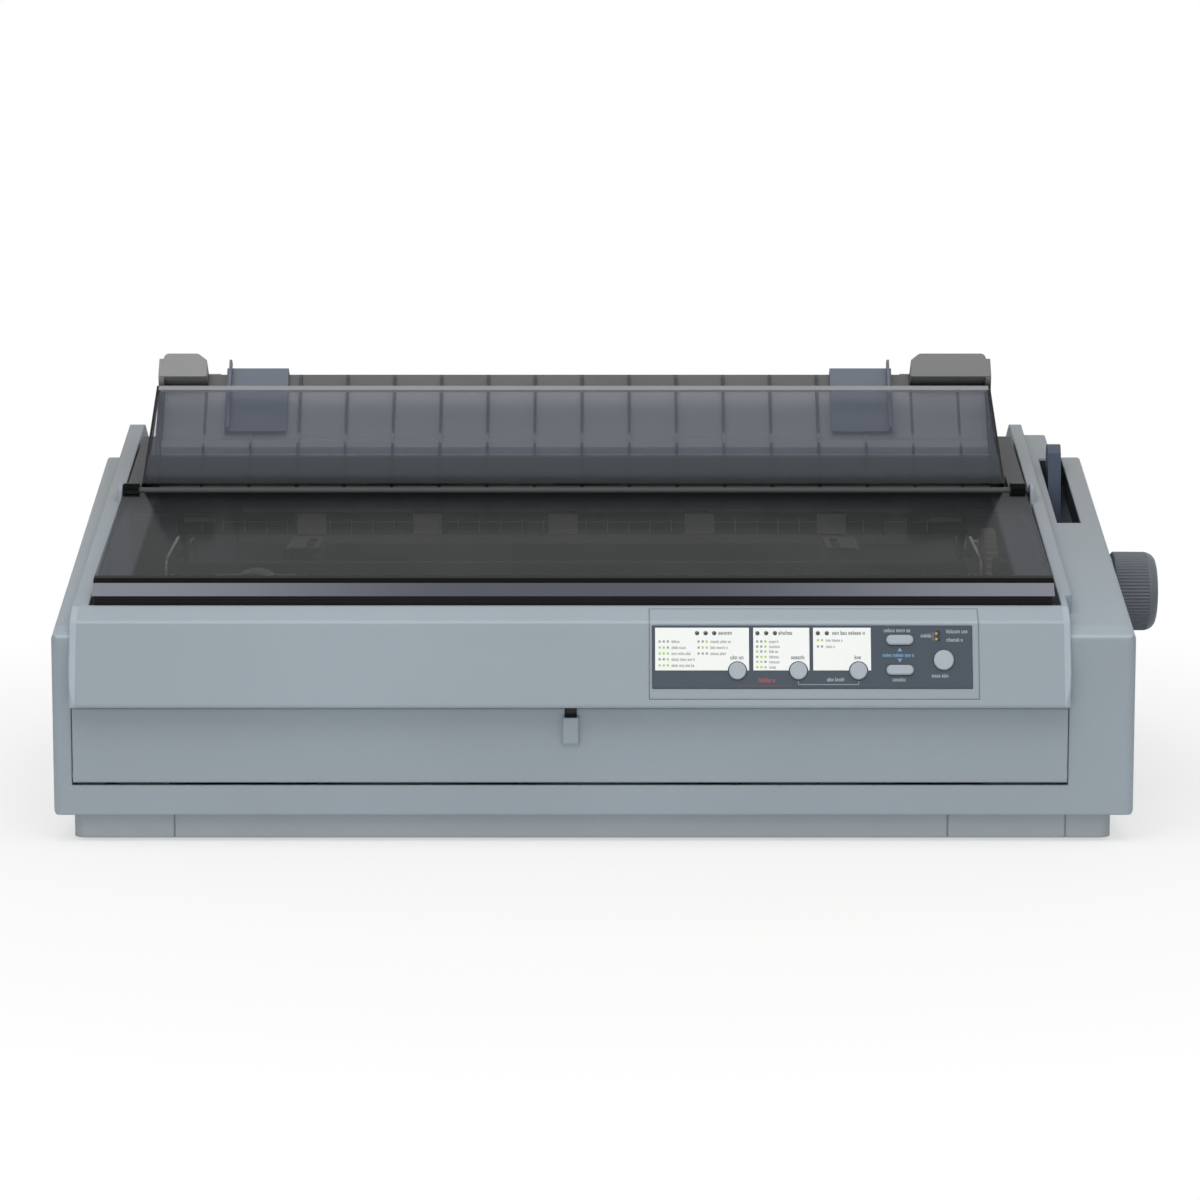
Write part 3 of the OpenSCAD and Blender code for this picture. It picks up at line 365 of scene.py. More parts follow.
def smokedSurface(f, look, tone, alpha, scratches):
    return f.surface({
        "Base Color": tone,
        "Roughness": scratches.between(*scratchLook["range"]) * scratchLook["spread"] + look["roughness"],
        "Alpha": alpha,
        "Specular IOR Level": look["specular"],
        "Normal": f.bump(scratches, scratchLook["depth"]),
    })


smokeLook = {
    "sheet": fromScreen(58, 60, 60),
    # near-black band by the hinge: painted shade and painted reflection
    "hingeShadeTone": fromScreen(4, 6, 7),
    "margin": fromScreen(92, 96, 101),
    # the front strip is a painted reflection, lighter towards the ends as a painted highlight
    "strip": fromScreen(88, 91, 101),
    "stripEndsHighlight": fromScreen(132, 136, 146),
    "stripReach": (0.05, 0.27),
    # the dark line behind the front strip is a painted shadow
    "line": fromScreen(5, 7, 8),
    "frontEdge": -0.1646,  # metres, where the front strip begins
    "stripBack": 0.0016,
    "lineBack": 0.0058,
    "middle": -0.0262,
    "halfWidth": 0.2713,
    "marginWidth": 0.021,
    "marginBlend": 0.0015,
    "marginShare": 0.8,
    "hingeFirst": (-0.0470, -0.0425),
    "hingeFirstShare": 0.45,
    "hingeRest": (-0.0420, -0.0180),
    "hingeRestShare": 0.55,
    "scratches": (900.0, 2.0, (0.05, 1.0, 1.0)),
    "haze": (14.0, 3.0),
    "hazeRange": (0.35, 0.7),
    "hazeTones": (0.92, 1.08),
    "hazeOpacity": 0.04,
    "opacity": 0.53,
    "solidOpacity": 0.97,
    "roughness": 0.09,
    "specular": 0.03,
}


def smokedSheet(name):
    look = smokeLook
    f = Finish(name)
    x, y = f.axes()[:2]
    # a painted reflection on the front strip and a painted shadow line behind it
    strip = y.below(look["frontEdge"] - look["stripBack"])
    line = y.below(look["frontEdge"] + look["lineBack"]) - strip
    fromMiddle = (x - look["middle"]).through("ABSOLUTE")
    inner = look["halfWidth"] - look["marginWidth"]
    margin = fromMiddle.between(inner - look["marginBlend"], inner + look["marginBlend"])
    # painted shade and reflection, darker towards the hinge
    hingeShade = y.between(*look["hingeFirst"]) * look["hingeFirstShare"]
    hingeShade = hingeShade + y.between(*look["hingeRest"]) * look["hingeRestShare"]
    scratches = f.noise(*look["scratches"])
    haze = f.noise(*look["haze"])
    tone = hazedTone(f, haze, look)
    tone = f.mixed(margin * look["marginShare"], tone, look["margin"])
    tone = f.mixed(hingeShade, tone, look["hingeShadeTone"])
    stripTone = f.mixed(fromMiddle.between(*look["stripReach"]), look["strip"], look["stripEndsHighlight"])
    tone = f.mixed(strip, tone, stripTone)
    tone = f.mixed(line, tone, look["line"])
    solid = (strip + line + hingeShade).clipped()
    spread = look["hazeOpacity"]
    sheet = haze * spread + (look["opacity"] - spread / 2)
    return smokedSurface(f, look, tone, solid * (look["solidOpacity"] - look["opacity"]) + sheet, scratches)


guideCoverLook = {
    "sheet": fromScreen(97, 104, 119),
    "low": fromScreen(61, 68, 75),
    "lowEnd": (0.0195, 0.0215),  # metres up the slope
    "foot": fromScreen(26, 30, 33),
    "footEnd": (0.0015, 0.0085),
    "topStrip": fromScreen(163, 165, 170),
    "stripStart": 0.0668,
    "stripBlend": 0.0006,
    "edge": fromScreen(14, 16, 18),
    "leftEdge": (-0.2875, 0.0726),  # metres at the foot, and metres across per metre up
    "rightEdge": (0.2337, -0.0769),
    "edgeWidth": 0.0013,
    "haze": (11.0, 3.0),
    "hazeRange": (0.3, 0.7),
    "hazeTones": (0.95, 1.06),
    "hazeOpacity": 0.04,
    "scratches": (700.0, 2.0, (0.06, 1.0, 1.0)),
    "opacity": 0.27,
    "lowOpacity": 0.52,
    "stripOpacity": 0.5,
    "edgeOpacity": 0.7,
    "roughness": 0.10,
    "specular": 0.12,
}


def smokedGuideSheet(name):
    look = guideCoverLook
    f = Finish(name)
    x, along = guideAxes(f)
    strip = along.between(look["stripStart"], look["stripStart"] + look["stripBlend"])
    low = 1.0 - along.between(*look["lowEnd"])
    foot = 1.0 - along.between(*look["footEnd"])
    leftFoot, leftSlant = look["leftEdge"]
    rightFoot, rightSlant = look["rightEdge"]
    leftEdge = (x - along * leftSlant).below(leftFoot + look["edgeWidth"])
    rightEdge = (x - along * rightSlant).above(rightFoot - look["edgeWidth"])
    edge = (leftEdge + rightEdge).clipped()
    haze = f.noise(*look["haze"])
    scratches = f.noise(*look["scratches"])
    tone = hazedTone(f, haze, look)
    tone = f.mixed(low, tone, f.mixed(foot, look["low"], look["foot"]))
    tone = f.mixed(strip, tone, look["topStrip"])
    tone = f.mixed(edge, tone, look["edge"])
    spread = look["hazeOpacity"]
    sheet = low * look["lowOpacity"] + (haze * spread + (look["opacity"] - spread / 2))
    alpha = (strip * look["stripOpacity"] + edge * look["edgeOpacity"] + sheet).clipped()
    return smokedSurface(f, look, tone, alpha, scratches)


zincLook = {"spangle": 190.0, "tones": (0.90, 1.08), "brush": (1400.0, 2.0, (0.04, 1.0, 1.0)),
            "metallic": 0.9, "brushRoughness": 0.12, "spangleRoughness": 0.08, "depth": 0.004}


def platedSteel(name, colour, roughness=0.32):
    look = zincLook
    f = Finish(name)
    spangle = f.grey(f.cells(look["spangle"], "Color"))
    brush = f.noise(*look["brush"])
    darkest, lightest = look["tones"]
    patches = look["spangleRoughness"]
    return f.surface({
        "Base Color": f.mixed(spangle, shade(colour, darkest), shade(colour, lightest)),
        "Metallic": look["metallic"],
        "Roughness": brush * look["brushRoughness"] + (spangle * patches + (roughness - patches)),
        "Normal": f.bump(brush, look["depth"]),
    })


groundLook = {"rings": (2500.0, 2.0, (1.0, 0.03, 0.03)), "stain": (30.0, 3.0), "stainRange": (0.4, 0.7),
              "stainTone": 0.88, "ringRoughness": 0.14, "stainRoughness": 0.06, "least": 0.12, "depth": 0.003}


def groundSteel(name, colour):
    look = groundLook
    f = Finish(name)
    rings = f.noise(*look["rings"])
    stain = f.noise(*look["stain"])
    return f.surface({
        "Base Color": f.mixed(stain.between(*look["stainRange"]), shade(colour, 1.0),
                              shade(colour, look["stainTone"])),
        "Metallic": 1.0,
        "Roughness": rings * look["ringRoughness"] + (stain * look["stainRoughness"] + look["least"]),
        "Normal": f.bump(rings, look["depth"]),
    })


rubberLook = {"grind": (1800.0, 3.0), "dust": (45.0, 5.0), "dustRange": (0.5, 0.8), "dustShare": 0.35,
              "dustTone": 2.2, "spread": 0.1, "specular": 0.3, "depth": 0.02}


def rubber(name, colour, roughness=0.72):
    look = rubberLook
    f = Finish(name)
    grind = f.noise(*look["grind"])
    dust = f.noise(*look["dust"])
    return f.surface({
        "Base Color": f.mixed(dust.between(*look["dustRange"]) * look["dustShare"], shade(colour, 1.0),
                              shade(colour, look["dustTone"])),
        "Roughness": grind * look["spread"] + (roughness - look["spread"] / 2),
        "Specular IOR Level": look["specular"],
        "Normal": f.bump(grind, look["depth"]),
    })


boardLook = {
    "bricks": {"offset": 0.37, "squash": 0.7},
    "tracks": {"Color1": (0.0, 0.0, 0.0, 1), "Color2": (0.05, 0.05, 0.05, 1), "Mortar": (1, 1, 1, 1),
               "Scale": 210.0, "Mortar Size": 0.012, "Brick Width": 1.7, "Row Height": 0.35},
    "trackShare": 0.5,
    "pads": 260.0,
    "padSize": 0.10,
    "padShare": 0.8,
    "raised": (0.0158, 0.0161),  # metres, where the parts stand on the board
    "resist": (0.012, 0.10, 0.04, 1),
    "track": (0.03, 0.22, 0.09, 1),
    "pad": (0.62, 0.60, 0.52, 1),
    "parts": (0.02, 0.02, 0.022, 1),
    "roughness": (0.2, 0.34),
    "depth": 0.03,
}


def circuitBoard(name):
    look = boardLook
    f = Finish(name)
    tracks = f.grey(f.node("ShaderNodeTexBrick", look["bricks"], {"Vector": f.place(), **look["tracks"]},
                           output="Color"))
    pads = f.cells(look["pads"], "Distance")
    raised = f.axes()[2].between(*look["raised"])
    board = f.mixed(tracks * look["trackShare"], look["resist"], look["track"])
    board = f.mixed(pads.below(look["padSize"]) * look["padShare"], board, look["pad"])
    spread, least = look["roughness"]
    return f.surface({
        "Base Color": f.mixed(raised, board, look["parts"]),
        "Roughness": tracks * spread + least,
        "Normal": f.bump(tracks, look["depth"]),
    })


lensLook = {"scale": 400.0, "tones": (0.85, 1.2), "glowTones": (0.9, 1.1), "roughness": (0.1, 0.12),
            "coat": 0.6}


def lens(name, colour, glow=0.0):
    look = lensLook
    f = Finish(name)
    cast = f.noise(look["scale"])
    darkest, lightest = look["tones"]
    spread, least = look["roughness"]
    values = {"Base Color": f.mixed(cast, shade(colour, darkest), shade(colour, lightest)),
              "Roughness": cast * spread + least, "Coat Weight": look["coat"]}
    if glow:
        darkest, lightest = look["glowTones"]
        values["Emission Color"] = f.mixed(cast, shade(colour, darkest), shade(colour, lightest))
        values["Emission Strength"] = glow
    return f.surface(values)


inkLook = {"scale": 3000.0, "share": 0.3, "tone": 0.8, "roughness": (0.1, 0.5)}


def printInk(name, colour):
    f = Finish(name)
    speckle = f.noise(inkLook["scale"])
    spread, least = inkLook["roughness"]
    tone = f.mixed(speckle * inkLook["share"], colour, shade(colour, inkLook["tone"]))
    return f.surface({"Base Color": tone, "Roughness": speckle * spread + least})


motorLook = {"sheets": 2000.0, "wear": (60.0, 4.0), "wearRange": (0.45, 0.75),
             "paint": (0.02, 0.02, 0.022, 1), "worn": (0.06, 0.06, 0.065, 1), "metallic": 0.35,
             "roughness": (0.25, 0.32), "depth": 0.02, "strength": 0.6}


def motorFinish(name):
    look = motorLook
    f = Finish(name)
    sheets = (f.axes()[0] * look["sheets"]).through("FRACT")
    wear = f.noise(*look["wear"])
    spread, least = look["roughness"]
    return f.surface({
        "Base Color": f.mixed(wear.between(*look["wearRange"]), look["paint"], look["worn"]),
        "Metallic": look["metallic"],
        "Roughness": wear * spread + least,
        "Normal": f.bump(sheets, look["depth"], look["strength"]),
    })


finishes = {  # plastics: colour, roughness, grain size and depth, edge radius, edge wear with a painted highlight
    "case_plastic": casePlastic("casePlastic"),
    "upper_case": casePlastic("upperCasePlastic", shadeMask=paintedSlotShade, shadeColour=leverSlot["colour"],
                              polishMask=paintedEdgeHighlight),
    "front_cover": casePlastic("frontCoverPlastic", shadeMask=paintedTabSlotShade, shadeColour=tabSlot["colour"]),
    "panel_insert": casePlastic("panelPlastic", polishMask=paintedEdgeHighlight),
    "case_lower": mouldedPlastic("caseLower", caseLook["lowerColour"], caseLook["lowerRoughness"],
                                 caseLook["grainSize"], caseLook["lowerGrainDepth"], caseLook["edgeRadius"],
                                 caseLook["wear"]),
    "rubber": rubber("footRubber", (0.018, 0.018, 0.019)),
    "bezel": mouldedPlastic("bezelPlastic", fromScreen(64, 75, 87), 0.42, 0.35, 0.008, 0.4, 0.25),
    "label": mouldedPlastic("labelSheet", fromScreen(251, 255, 252), 0.40, 0.3, 0.004),
    "circuit_board": circuitBoard("circuitBoard"),
    "dark_plastic": mouldedPlastic("darkPlastic", fromScreen(52, 53, 55), 0.48, 0.5, 0.014),
    "scale_bar": mouldedPlastic("scaleBarPlastic", fromScreen(98, 100, 100), 0.50, 0.5, 0.012),
    "sheet_steel": platedSteel("zincSteel", (0.56, 0.57, 0.58, 1)),
    "bush_plastic": mouldedPlastic("bushPlastic", fromScreen(222, 214, 190), 0.40, 0.6, 0.006),
    "motor_case": motorFinish("motorCase"),
    "ground_steel": groundSteel("groundSteel", (0.66, 0.67, 0.69, 1)),
    "cartridge_plastic": mouldedPlastic("cartridgePlastic", fromScreen(34, 35, 37), 0.38, 0.6, 0.010),
    "port_metal": platedSteel("portShell", (0.62, 0.62, 0.62, 1), 0.26),
    "smoked_cover": smokedSheet("smokedCover"),
    "guide_cover": smokedGuideSheet("smokedGuideCover"),
    "guide_plastic": mouldedPlastic("guideEndPlastic", fromScreen(140, 141, 142), 0.50, 0.5, 0.014, 0.5, 0.25,
                                    darkArmsAndShadedRightCap, armLook["colour"]),
    "guide_sheet": guideSheet("guideSheet"),
    "blue_plastic": mouldedPlastic("bluePlastic", fromScreen(66, 79, 99), 0.42, 0.5, 0.010, 0.5, 0.25),
    "edge_plastic": mouldedPlastic("edgeGuidePlastic", fromScreen(96, 104, 118), 0.45, 0.5, 0.010, 0.5, 0.25),
    "platen_rubber": rubber("platenRubber", (0.022, 0.022, 0.023), 0.58),
    "gear_plastic": mouldedPlastic("gearPlastic", fromScreen(226, 224, 214), 0.38, 0.7, 0.006),
    "knob_plastic": mouldedPlastic("knobPlastic", fromScreen(98, 104, 112), 0.45, 0.45, 0.010, 0.3, 0.35),
    "roller_plastic": mouldedPlastic("rollerPlastic", fromScreen(216, 216, 208), 0.45, 0.6, 0.008),
    "head_metal": platedSteel("headCasting", (0.30, 0.31, 0.32, 1), 0.40),
    "button_plastic": mouldedPlastic("buttonPlastic", fromScreen(172, 181, 190), 0.42, 0.4, 0.008, 0.5, 0.20),
}
ownFinish = {  # solids that don't wear their slot's finish
    "tension_bar": "scale_bar",
    "front_cover": "front_cover",
    "panel_insert": "panel_insert",
    "guide_cover": "guide_cover",
    "paper_guide": "guide_sheet",
    "upper_case": "upper_case",
    "edge_guide_left": "edge_plastic",
    "edge_guide_right": "edge_plastic",
}
for part in frame["record"]["subparts"]:
    solid = frame["nodes"][part["node"]]
    look = finishes[ownFinish.get(part["node"], part["material_slot"])]
    if not solid.data.materials:
        solid.data.materials.append(look)
    for index in range(len(solid.material_slots)):
        solid.material_slots[index].material = look
print("finishes made,", len(finishes))


def linked(name, data):
    piece = bpy.data.objects.new(name, data)
    bpy.context.scene.collection.objects.link(piece)
    return piece


def meshPiece(name, bm, look, body, smooth=False):
    bmesh.ops.recalc_face_normals(bm, faces=bm.faces)
    data = bpy.data.meshes.new(name)
    bm.to_mesh(data)
    bm.free()
    data.materials.append(look)
    for face in data.polygons:
        face.use_smooth = smooth
    piece = linked(name, data)
    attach(piece, body)
    return piece


def turned(degrees, axis):
    return Matrix.Rotation(math.radians(degrees), 4, axis)


def moved(x, y, z):  # mm
    return Matrix.Translation((x * mm, y * mm, z * mm))


def addBlock(bm, low, high, place=None, bevel=0.0):  # corners and bevel in mm
    low, high = [v * mm for v in low], [v * mm for v in high]
    size = [high[i] - low[i] for i in range(3)]
    centre = Vector([(high[i] + low[i]) / 2 for i in range(3)])
    made = bmesh.ops.create_cube(bm, size=1.0)["verts"]
    for vert in made:
        vert.co = Vector([vert.co[i] * size[i] for i in range(3)]) + centre
    if bevel:
        edges = list(dict.fromkeys(edge for vert in made for edge in vert.link_edges))
        made = bmesh.ops.bevel(bm, geom=edges, offset=bevel * mm, segments=2, affect="EDGES",
                               profile=0.7)["verts"]
    if place:
        bmesh.ops.transform(bm, matrix=place, verts=made)


def addTurned(bm, profile, steps, place, ribs=0, ribDepth=0.0, ribSpan=None):
    # profile is a list of (radius, height) in mm; it turns about local Z
    rings = []
    for radius, height in profile:
        if not radius:
            rings.append([bm.verts.new((0, 0, height * mm))])
            continue
        ring = []
        for i in range(steps):
            angle = 2 * math.pi * i / steps
            r = radius * mm
            if ribs and ribSpan[0] <= height <= ribSpan[1]:
                r -= ribDepth * mm * (0.5 + 0.5 * math.cos(ribs * angle))
            ring.append(bm.verts.new((r * math.cos(angle), r * math.sin(angle), height * mm)))
        rings.append(ring)
    for lower, upper in zip(rings, rings[1:]):
        for i in range(steps):
            j = (i + 1) % steps
            if len(lower) == 1:
                bm.faces.new((lower[0], upper[i], upper[j]))
            elif len(upper) == 1:
                bm.faces.new((lower[i], lower[j], upper[0]))
            else:
                bm.faces.new((lower[i], lower[j], upper[j], upper[i]))
    bmesh.ops.transform(bm, matrix=place, verts=[v for ring in rings for v in ring])


panelFrame = Matrix.Translation((0, -0.2015, 0.079)) @ turned(73, "X")  # x, y and out of the front panel

panelPrint = {  # mm on the panel
    "dotSize": 1.2,
    "dotPitch": 2.3,
    "dotFoot": 0.65,  # mm out of the panel
    "dotTop": 0.76,
    "dotsInRow": 3,
    "wordStart": 7.3,
    "labelTop": 0.70,
    "bezelTop": 0.40,
    "lineFoot": 0.35,
    "lineTop": 0.45,
    "rowTall": 1.7,
    "headingTall": 2.3,
    "bezelTall": 2.2,
    "redTall": 2.6,
    "rows": [  # x, y, lit dots, length of the greeked words
        (21.6, 37.8, (0, 0, 0), 5.0), (21.6, 34.4, (1, 1, 0), 8.0), (21.6, 31.0, (1, 1, 1), 10.5),
        (21.6, 27.7, (0, 0, 1), 12.6), (21.6, 24.3, (1, 1, 1), 12.6),
        (43.4, 37.8, (0, 0, 1), 11.6), (43.4, 34.4, (0, 1, 1), 9.4), (43.4, 31.0, (0, 0, 0), 8.6),
        (76.2, 37.8, (0, 0, 1), 5.4), (76.2, 34.95, (0, 0, 1), 6.2), (76.2, 32.15, (1, 0, 1), 5.6),
        (76.2, 29.1, (0, 1, 1), 6.0), (76.2, 26.3, (1, 1, 0), 6.0), (76.2, 23.3, (1, 1, 1), 3.6),
        (110.2, 38.5, (1, 1), 9.4), (110.2, 35.0, (0, 0), 5.6),
    ],
    "headings": [(55.2, 42.7, 7.6), (88.8, 42.7, 8.0), (118.8, 42.7, 18.8), (61.8, 28.8, 7.6),
                 (95.8, 28.9, 7.4), (131.2, 28.9, 3.8)],
    "bezelWords": [(147.8, 44.2, 15.6), (152.4, 16.4, 8.0), (174.4, 18.6, 9.4), (182.8, 43.6, 12.0),
                   (182.8, 38.8, 8.6), (168.4, 41.2, 6.2), (115.8, 16.4, 9.4)],
    "redWords": [(77.6, 16.0, 8.6)],
    "blueWords": [(147.0, 30.2, 18.0)],
    "whiteLines": [  # x0, y0, x1, y1
        (99.6, 13.4, 133.6, 13.7), (99.6, 13.4, 99.9, 15.4), (133.3, 13.4, 133.6, 15.4),
        (175.2, 38.6, 175.4, 42.7), (175.2, 38.6, 175.9, 38.8), (175.2, 42.5, 175.9, 42.7),
    ],
    "redLines": [(65.8, 12.6, 96.0, 12.85), (65.6, 12.6, 65.85, 15.2)],
}
wordShape = {  # shares of a word's height, apart from the letters and the relief
    "letters": (3, 4, 5, 6),
    "stroke": 0.15,
    "body": 0.72,
    "heights": (0.72, 0.72, 0.72, 1.0),
    "widths": (0.36, 0.42, 0.48),
    "bars": (0.3, 0.57),
    "gap": 0.14,
    "space": 0.3,
    "relief": 0.05,  # mm
}


def panelTiles(name, tiles, look):  # tiles are (x0, y0, x1, y1, foot, top) in mm on the panel
    bm = bmesh.new()
    for x0, y0, x1, y1, foot, top in tiles:
        addBlock(bm, (x0, y0, foot), (x1, y1, top), panelFrame)
    return meshPiece(name, bm, look, "casing")


def greekedWords(x, y, length, top, seed, tall):  # strokes that stand for words without spelling any
    dice = random.Random(seed)
    tiles, at, stroke, low = [], x, tall * wordShape["stroke"], y - tall / 2
    foot, head = top - wordShape["relief"], top + wordShape["relief"]
    while at < x + length:
        for _ in range(dice.choice(wordShape["letters"])):
            high = low + tall * dice.choice(wordShape["heights"])
            wide = tall * dice.choice(wordShape["widths"])
            bar = dice.choice([low] + [low + tall * share for share in wordShape["bars"]])
            right = at + wide
            tiles += [(at, low, at + stroke, high, foot, head),
                      (right - stroke, low, right, low + tall * wordShape["body"], foot, head),
                      (at + stroke, bar, right - stroke, bar + stroke, foot, head)]
            at += wide + tall * wordShape["gap"]
            if at > x + length - tall * wordShape["space"]:
                return tiles
        at += tall * wordShape["space"]
    return tiles


def wordTiles(words, top, seed, tall):
    tiles = []
    for number, (x, y, length) in enumerate(words):
        tiles += greekedWords(x, y, length, top, seed + number, tall)
    return tiles


def lineTiles(lines):
    return [line + (panelPrint["lineFoot"], panelPrint["lineTop"]) for line in lines]


greenTiles, greyTiles = [], []
for number, (x, y, lit, length) in enumerate(panelPrint["rows"]):
    half = panelPrint["dotSize"] / 2
    for i, on in enumerate(lit):
        left = x + i * panelPrint["dotPitch"]
        right = left + panelPrint["dotSize"]
        tile = (left, y - half, right, y + half, panelPrint["dotFoot"], panelPrint["dotTop"])
        (greenTiles if on else greyTiles).append(tile)
    start = x + panelPrint["wordStart"] - (panelPrint["dotsInRow"] - len(lit)) * panelPrint["dotPitch"]
    greyTiles += greekedWords(start, y, length, panelPrint["labelTop"], number, panelPrint["rowTall"])
darkTiles = wordTiles(panelPrint["headings"], panelPrint["labelTop"], 40, panelPrint["headingTall"])
panelTiles("labelGreenDots", greenTiles, printInk("greenInk", fromScreen(176, 212, 96)))
panelTiles("labelGreyPrint", greyTiles, printInk("greyInk", fromScreen(150, 157, 156)))
panelTiles("labelDarkPrint", darkTiles, printInk("darkInk", fromScreen(116, 121, 124)))
whiteTiles = wordTiles(panelPrint["bezelWords"], panelPrint["bezelTop"], 60, panelPrint["bezelTall"])
whiteTiles += lineTiles(panelPrint["whiteLines"])
panelTiles("bezelWhitePrint", whiteTiles, printInk("whiteInk", fromScreen(170, 179, 186)))
redTiles = wordTiles(panelPrint["redWords"], panelPrint["bezelTop"], 80, panelPrint["redTall"])
panelTiles("bezelRedPrint", redTiles, printInk("redInk", fromScreen(174, 76, 94)))
panelTiles("bezelRedLine", lineTiles(panelPrint["redLines"]), printInk("redLineInk", fromScreen(128, 74, 88)))
blueTiles = wordTiles(panelPrint["blueWords"], panelPrint["bezelTop"], 90, panelPrint["bezelTall"])
blueInk = printInk("blueInk", fromScreen(122, 166, 204))
panelTiles("bezelBluePrint", blueTiles, blueInk)

arrowShape = {"x": 156.6, "rows": ((33.2, 1), (27.2, -1)), "half": 1.3, "back": 0.9, "tip": 1.2,
              "foot": 0.35, "top": 0.46}
bm = bmesh.new()  # up and down arrows between the oblong buttons
for centre, sign in arrowShape["rows"]:
    back = -arrowShape["back"] * sign
    corners = [(-arrowShape["half"], back), (arrowShape["half"], back), (0, arrowShape["tip"] * sign)]
    low, high = [[bm.verts.new(panelFrame @ Vector(((arrowShape["x"] + u) * mm, (centre + v) * mm, out * mm)))
                  for u, v in corners] for out in (arrowShape["foot"], arrowShape["top"])]
    bm.faces.new(low)
    bm.faces.new(high)
    for i in range(3):
        bm.faces.new((low[i], low[(i + 1) % 3], high[(i + 1) % 3], high[i]))
meshPiece("bezelArrows", bm, blueInk, "casing")

panelLamps = {
    "profile": [(0, 1.15), (0.5, 1.1), (0.85, 0.95), (0.98, 0.75), (0.98, 0.3), (0, 0.3)],
    "steps": 20,
    "row": 42.7,  # mm up the panel
    "dark": [42.9, 47.7, 52.5, 76.8, 81.6, 86.5, 110.7, 115.7],
    "amber": [(177.1, 42.2), (177.1, 39.1)],
    "amberScale": 0.8,
    "amberGlow": 0.10,
}


def lampCaps(name, spots, look, scale=1.0):
    bm = bmesh.new()
    for x, y in spots:
        addTurned(bm, [(r * scale, h) for r, h in panelLamps["profile"]], panelLamps["steps"],
                  panelFrame @ moved(x, y, 0))
    return meshPiece(name, bm, look, "casing", True)


lampCaps("statusLamps", [(x, panelLamps["row"]) for x in panelLamps["dark"]],
         lens("darkLens", fromScreen(66, 74, 84)))
lampCaps("readyLamps", panelLamps["amber"],
         lens("amberLens", fromScreen(196, 150, 56), panelLamps["amberGlow"]), panelLamps["amberScale"])
print("control panel dressed")

knobShape = {
    "inner": 290.8,  # mm, where it meets the case
    "axle": (-0.043, 0.1234),  # metres
    "ribs": 72,
    "stepsPerRib": 6,
    "ribDepth": 0.75,
    "ribbed": (4.0, 22.6),
    "profile": [
        (0, 0), (19.6, 0), (20.0, 0.4), (20.0, 2.9), (20.4, 3.2), (22.9, 3.2), (23.4, 3.7), (23.5, 4.2),
        (23.5, 10.0), (23.45, 16.0), (23.4, 22.4), (23.2, 23.4), (22.6, 25.2), (21.4, 26.9), (19.8, 28.1),
        (18.0, 28.6), (16.8, 28.7), (16.2, 28.4), (15.8, 27.4), (15.2, 27.0), (8.0, 26.7), (7.4, 27.1),
        (6.6, 27.3), (0, 27.4),
    ],
}
bm = bmesh.new()
knobPlace = Matrix.Translation((knobShape["inner"] * mm, *knobShape["axle"])) @ turned(90, "Y")
addTurned(bm, knobShape["profile"], knobShape["ribs"] * knobShape["stepsPerRib"], knobPlace,
          knobShape["ribs"], knobShape["ribDepth"], knobShape["ribbed"])
knob = meshPiece("feedKnob", bm, finishes["knob_plastic"], "platen")
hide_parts("platen_knob")

scaleMarks = {
    "first": -238.0,  # mm, where the long line starts
    "last": 184.0,
    "pitch": 12.7,
    "count": 35,
    "parts": 5,
    "half": 0.35,
    "smallHalf": 0.15,
    "front": -40.7,
    "thick": 0.2,
    "low": 158.4,
    "high": 166.4,
    "small": (163.2, 164.7),
    "line": 164.6,
    "lineTall": 0.35,
    "armEdge": -239.9,  # marks left of this stand on the arm
    "smallEdge": -239.5,
    "armFront": -41.12,
    "armHigh": 163.6,
}
bm = bmesh.new()
front, back = scaleMarks["front"], scaleMarks["front"] + scaleMarks["thick"]
for i in range(scaleMarks["count"]):
    x = scaleMarks["last"] - i * scaleMarks["pitch"]
    onArm = x < scaleMarks["armEdge"]
    face = scaleMarks["armFront"] if onArm else front
    top = scaleMarks["armHigh"] if onArm else scaleMarks["high"]
    addBlock(bm, (x - scaleMarks["half"], face, scaleMarks["low"]),
             (x + scaleMarks["half"], face + scaleMarks["thick"], top))
    if 0 < i < scaleMarks["count"] - 1:
        for k in range(1, scaleMarks["parts"]):
            small = x + k * scaleMarks["pitch"] / scaleMarks["parts"]
            if small > scaleMarks["smallEdge"]:
                addBlock(bm, (small - scaleMarks["smallHalf"], front, scaleMarks["small"][0]),
                         (small + scaleMarks["smallHalf"], back, scaleMarks["small"][1]))
addBlock(bm, (scaleMarks["first"], front, scaleMarks["line"]),
         (scaleMarks["last"], back, scaleMarks["line"] + scaleMarks["lineTall"]))
meshPiece("columnScale", bm, printInk("scaleInk", fromScreen(196, 198, 190)), "tension_unit")

rollerHolders = {"at": [-182.5, -113.5, -32.9, 48.2, 126.9], "half": 8.6, "low": 157.6, "high": 169.6,
                 "front": -41.5, "back": -40.62, "bevel": 0.25, "ribWide": 0.8, "ribInset": 0.9,
                 "ribOut": 0.4, "ribSunk": 0.1, "ribShort": 1}
bm = bmesh.new()
front, inset, wide = rollerHolders["front"], rollerHolders["ribInset"], rollerHolders["ribWide"]
low, high = rollerHolders["low"], rollerHolders["high"]
for x in rollerHolders["at"]:
    left, right = x - rollerHolders["half"], x + rollerHolders["half"]
    addBlock(bm, (left, front, low), (right, rollerHolders["back"], high), bevel=rollerHolders["bevel"])
    for edge in (left + inset, right - inset - wide):  # ribs on the holder's face
        addBlock(bm, (edge, front - rollerHolders["ribOut"], low + rollerHolders["ribShort"]),
                 (edge + wide, front + rollerHolders["ribSunk"], high - rollerHolders["ribShort"]))
meshPiece("rollerHolders", bm, finishes["roller_plastic"], "tension_unit")

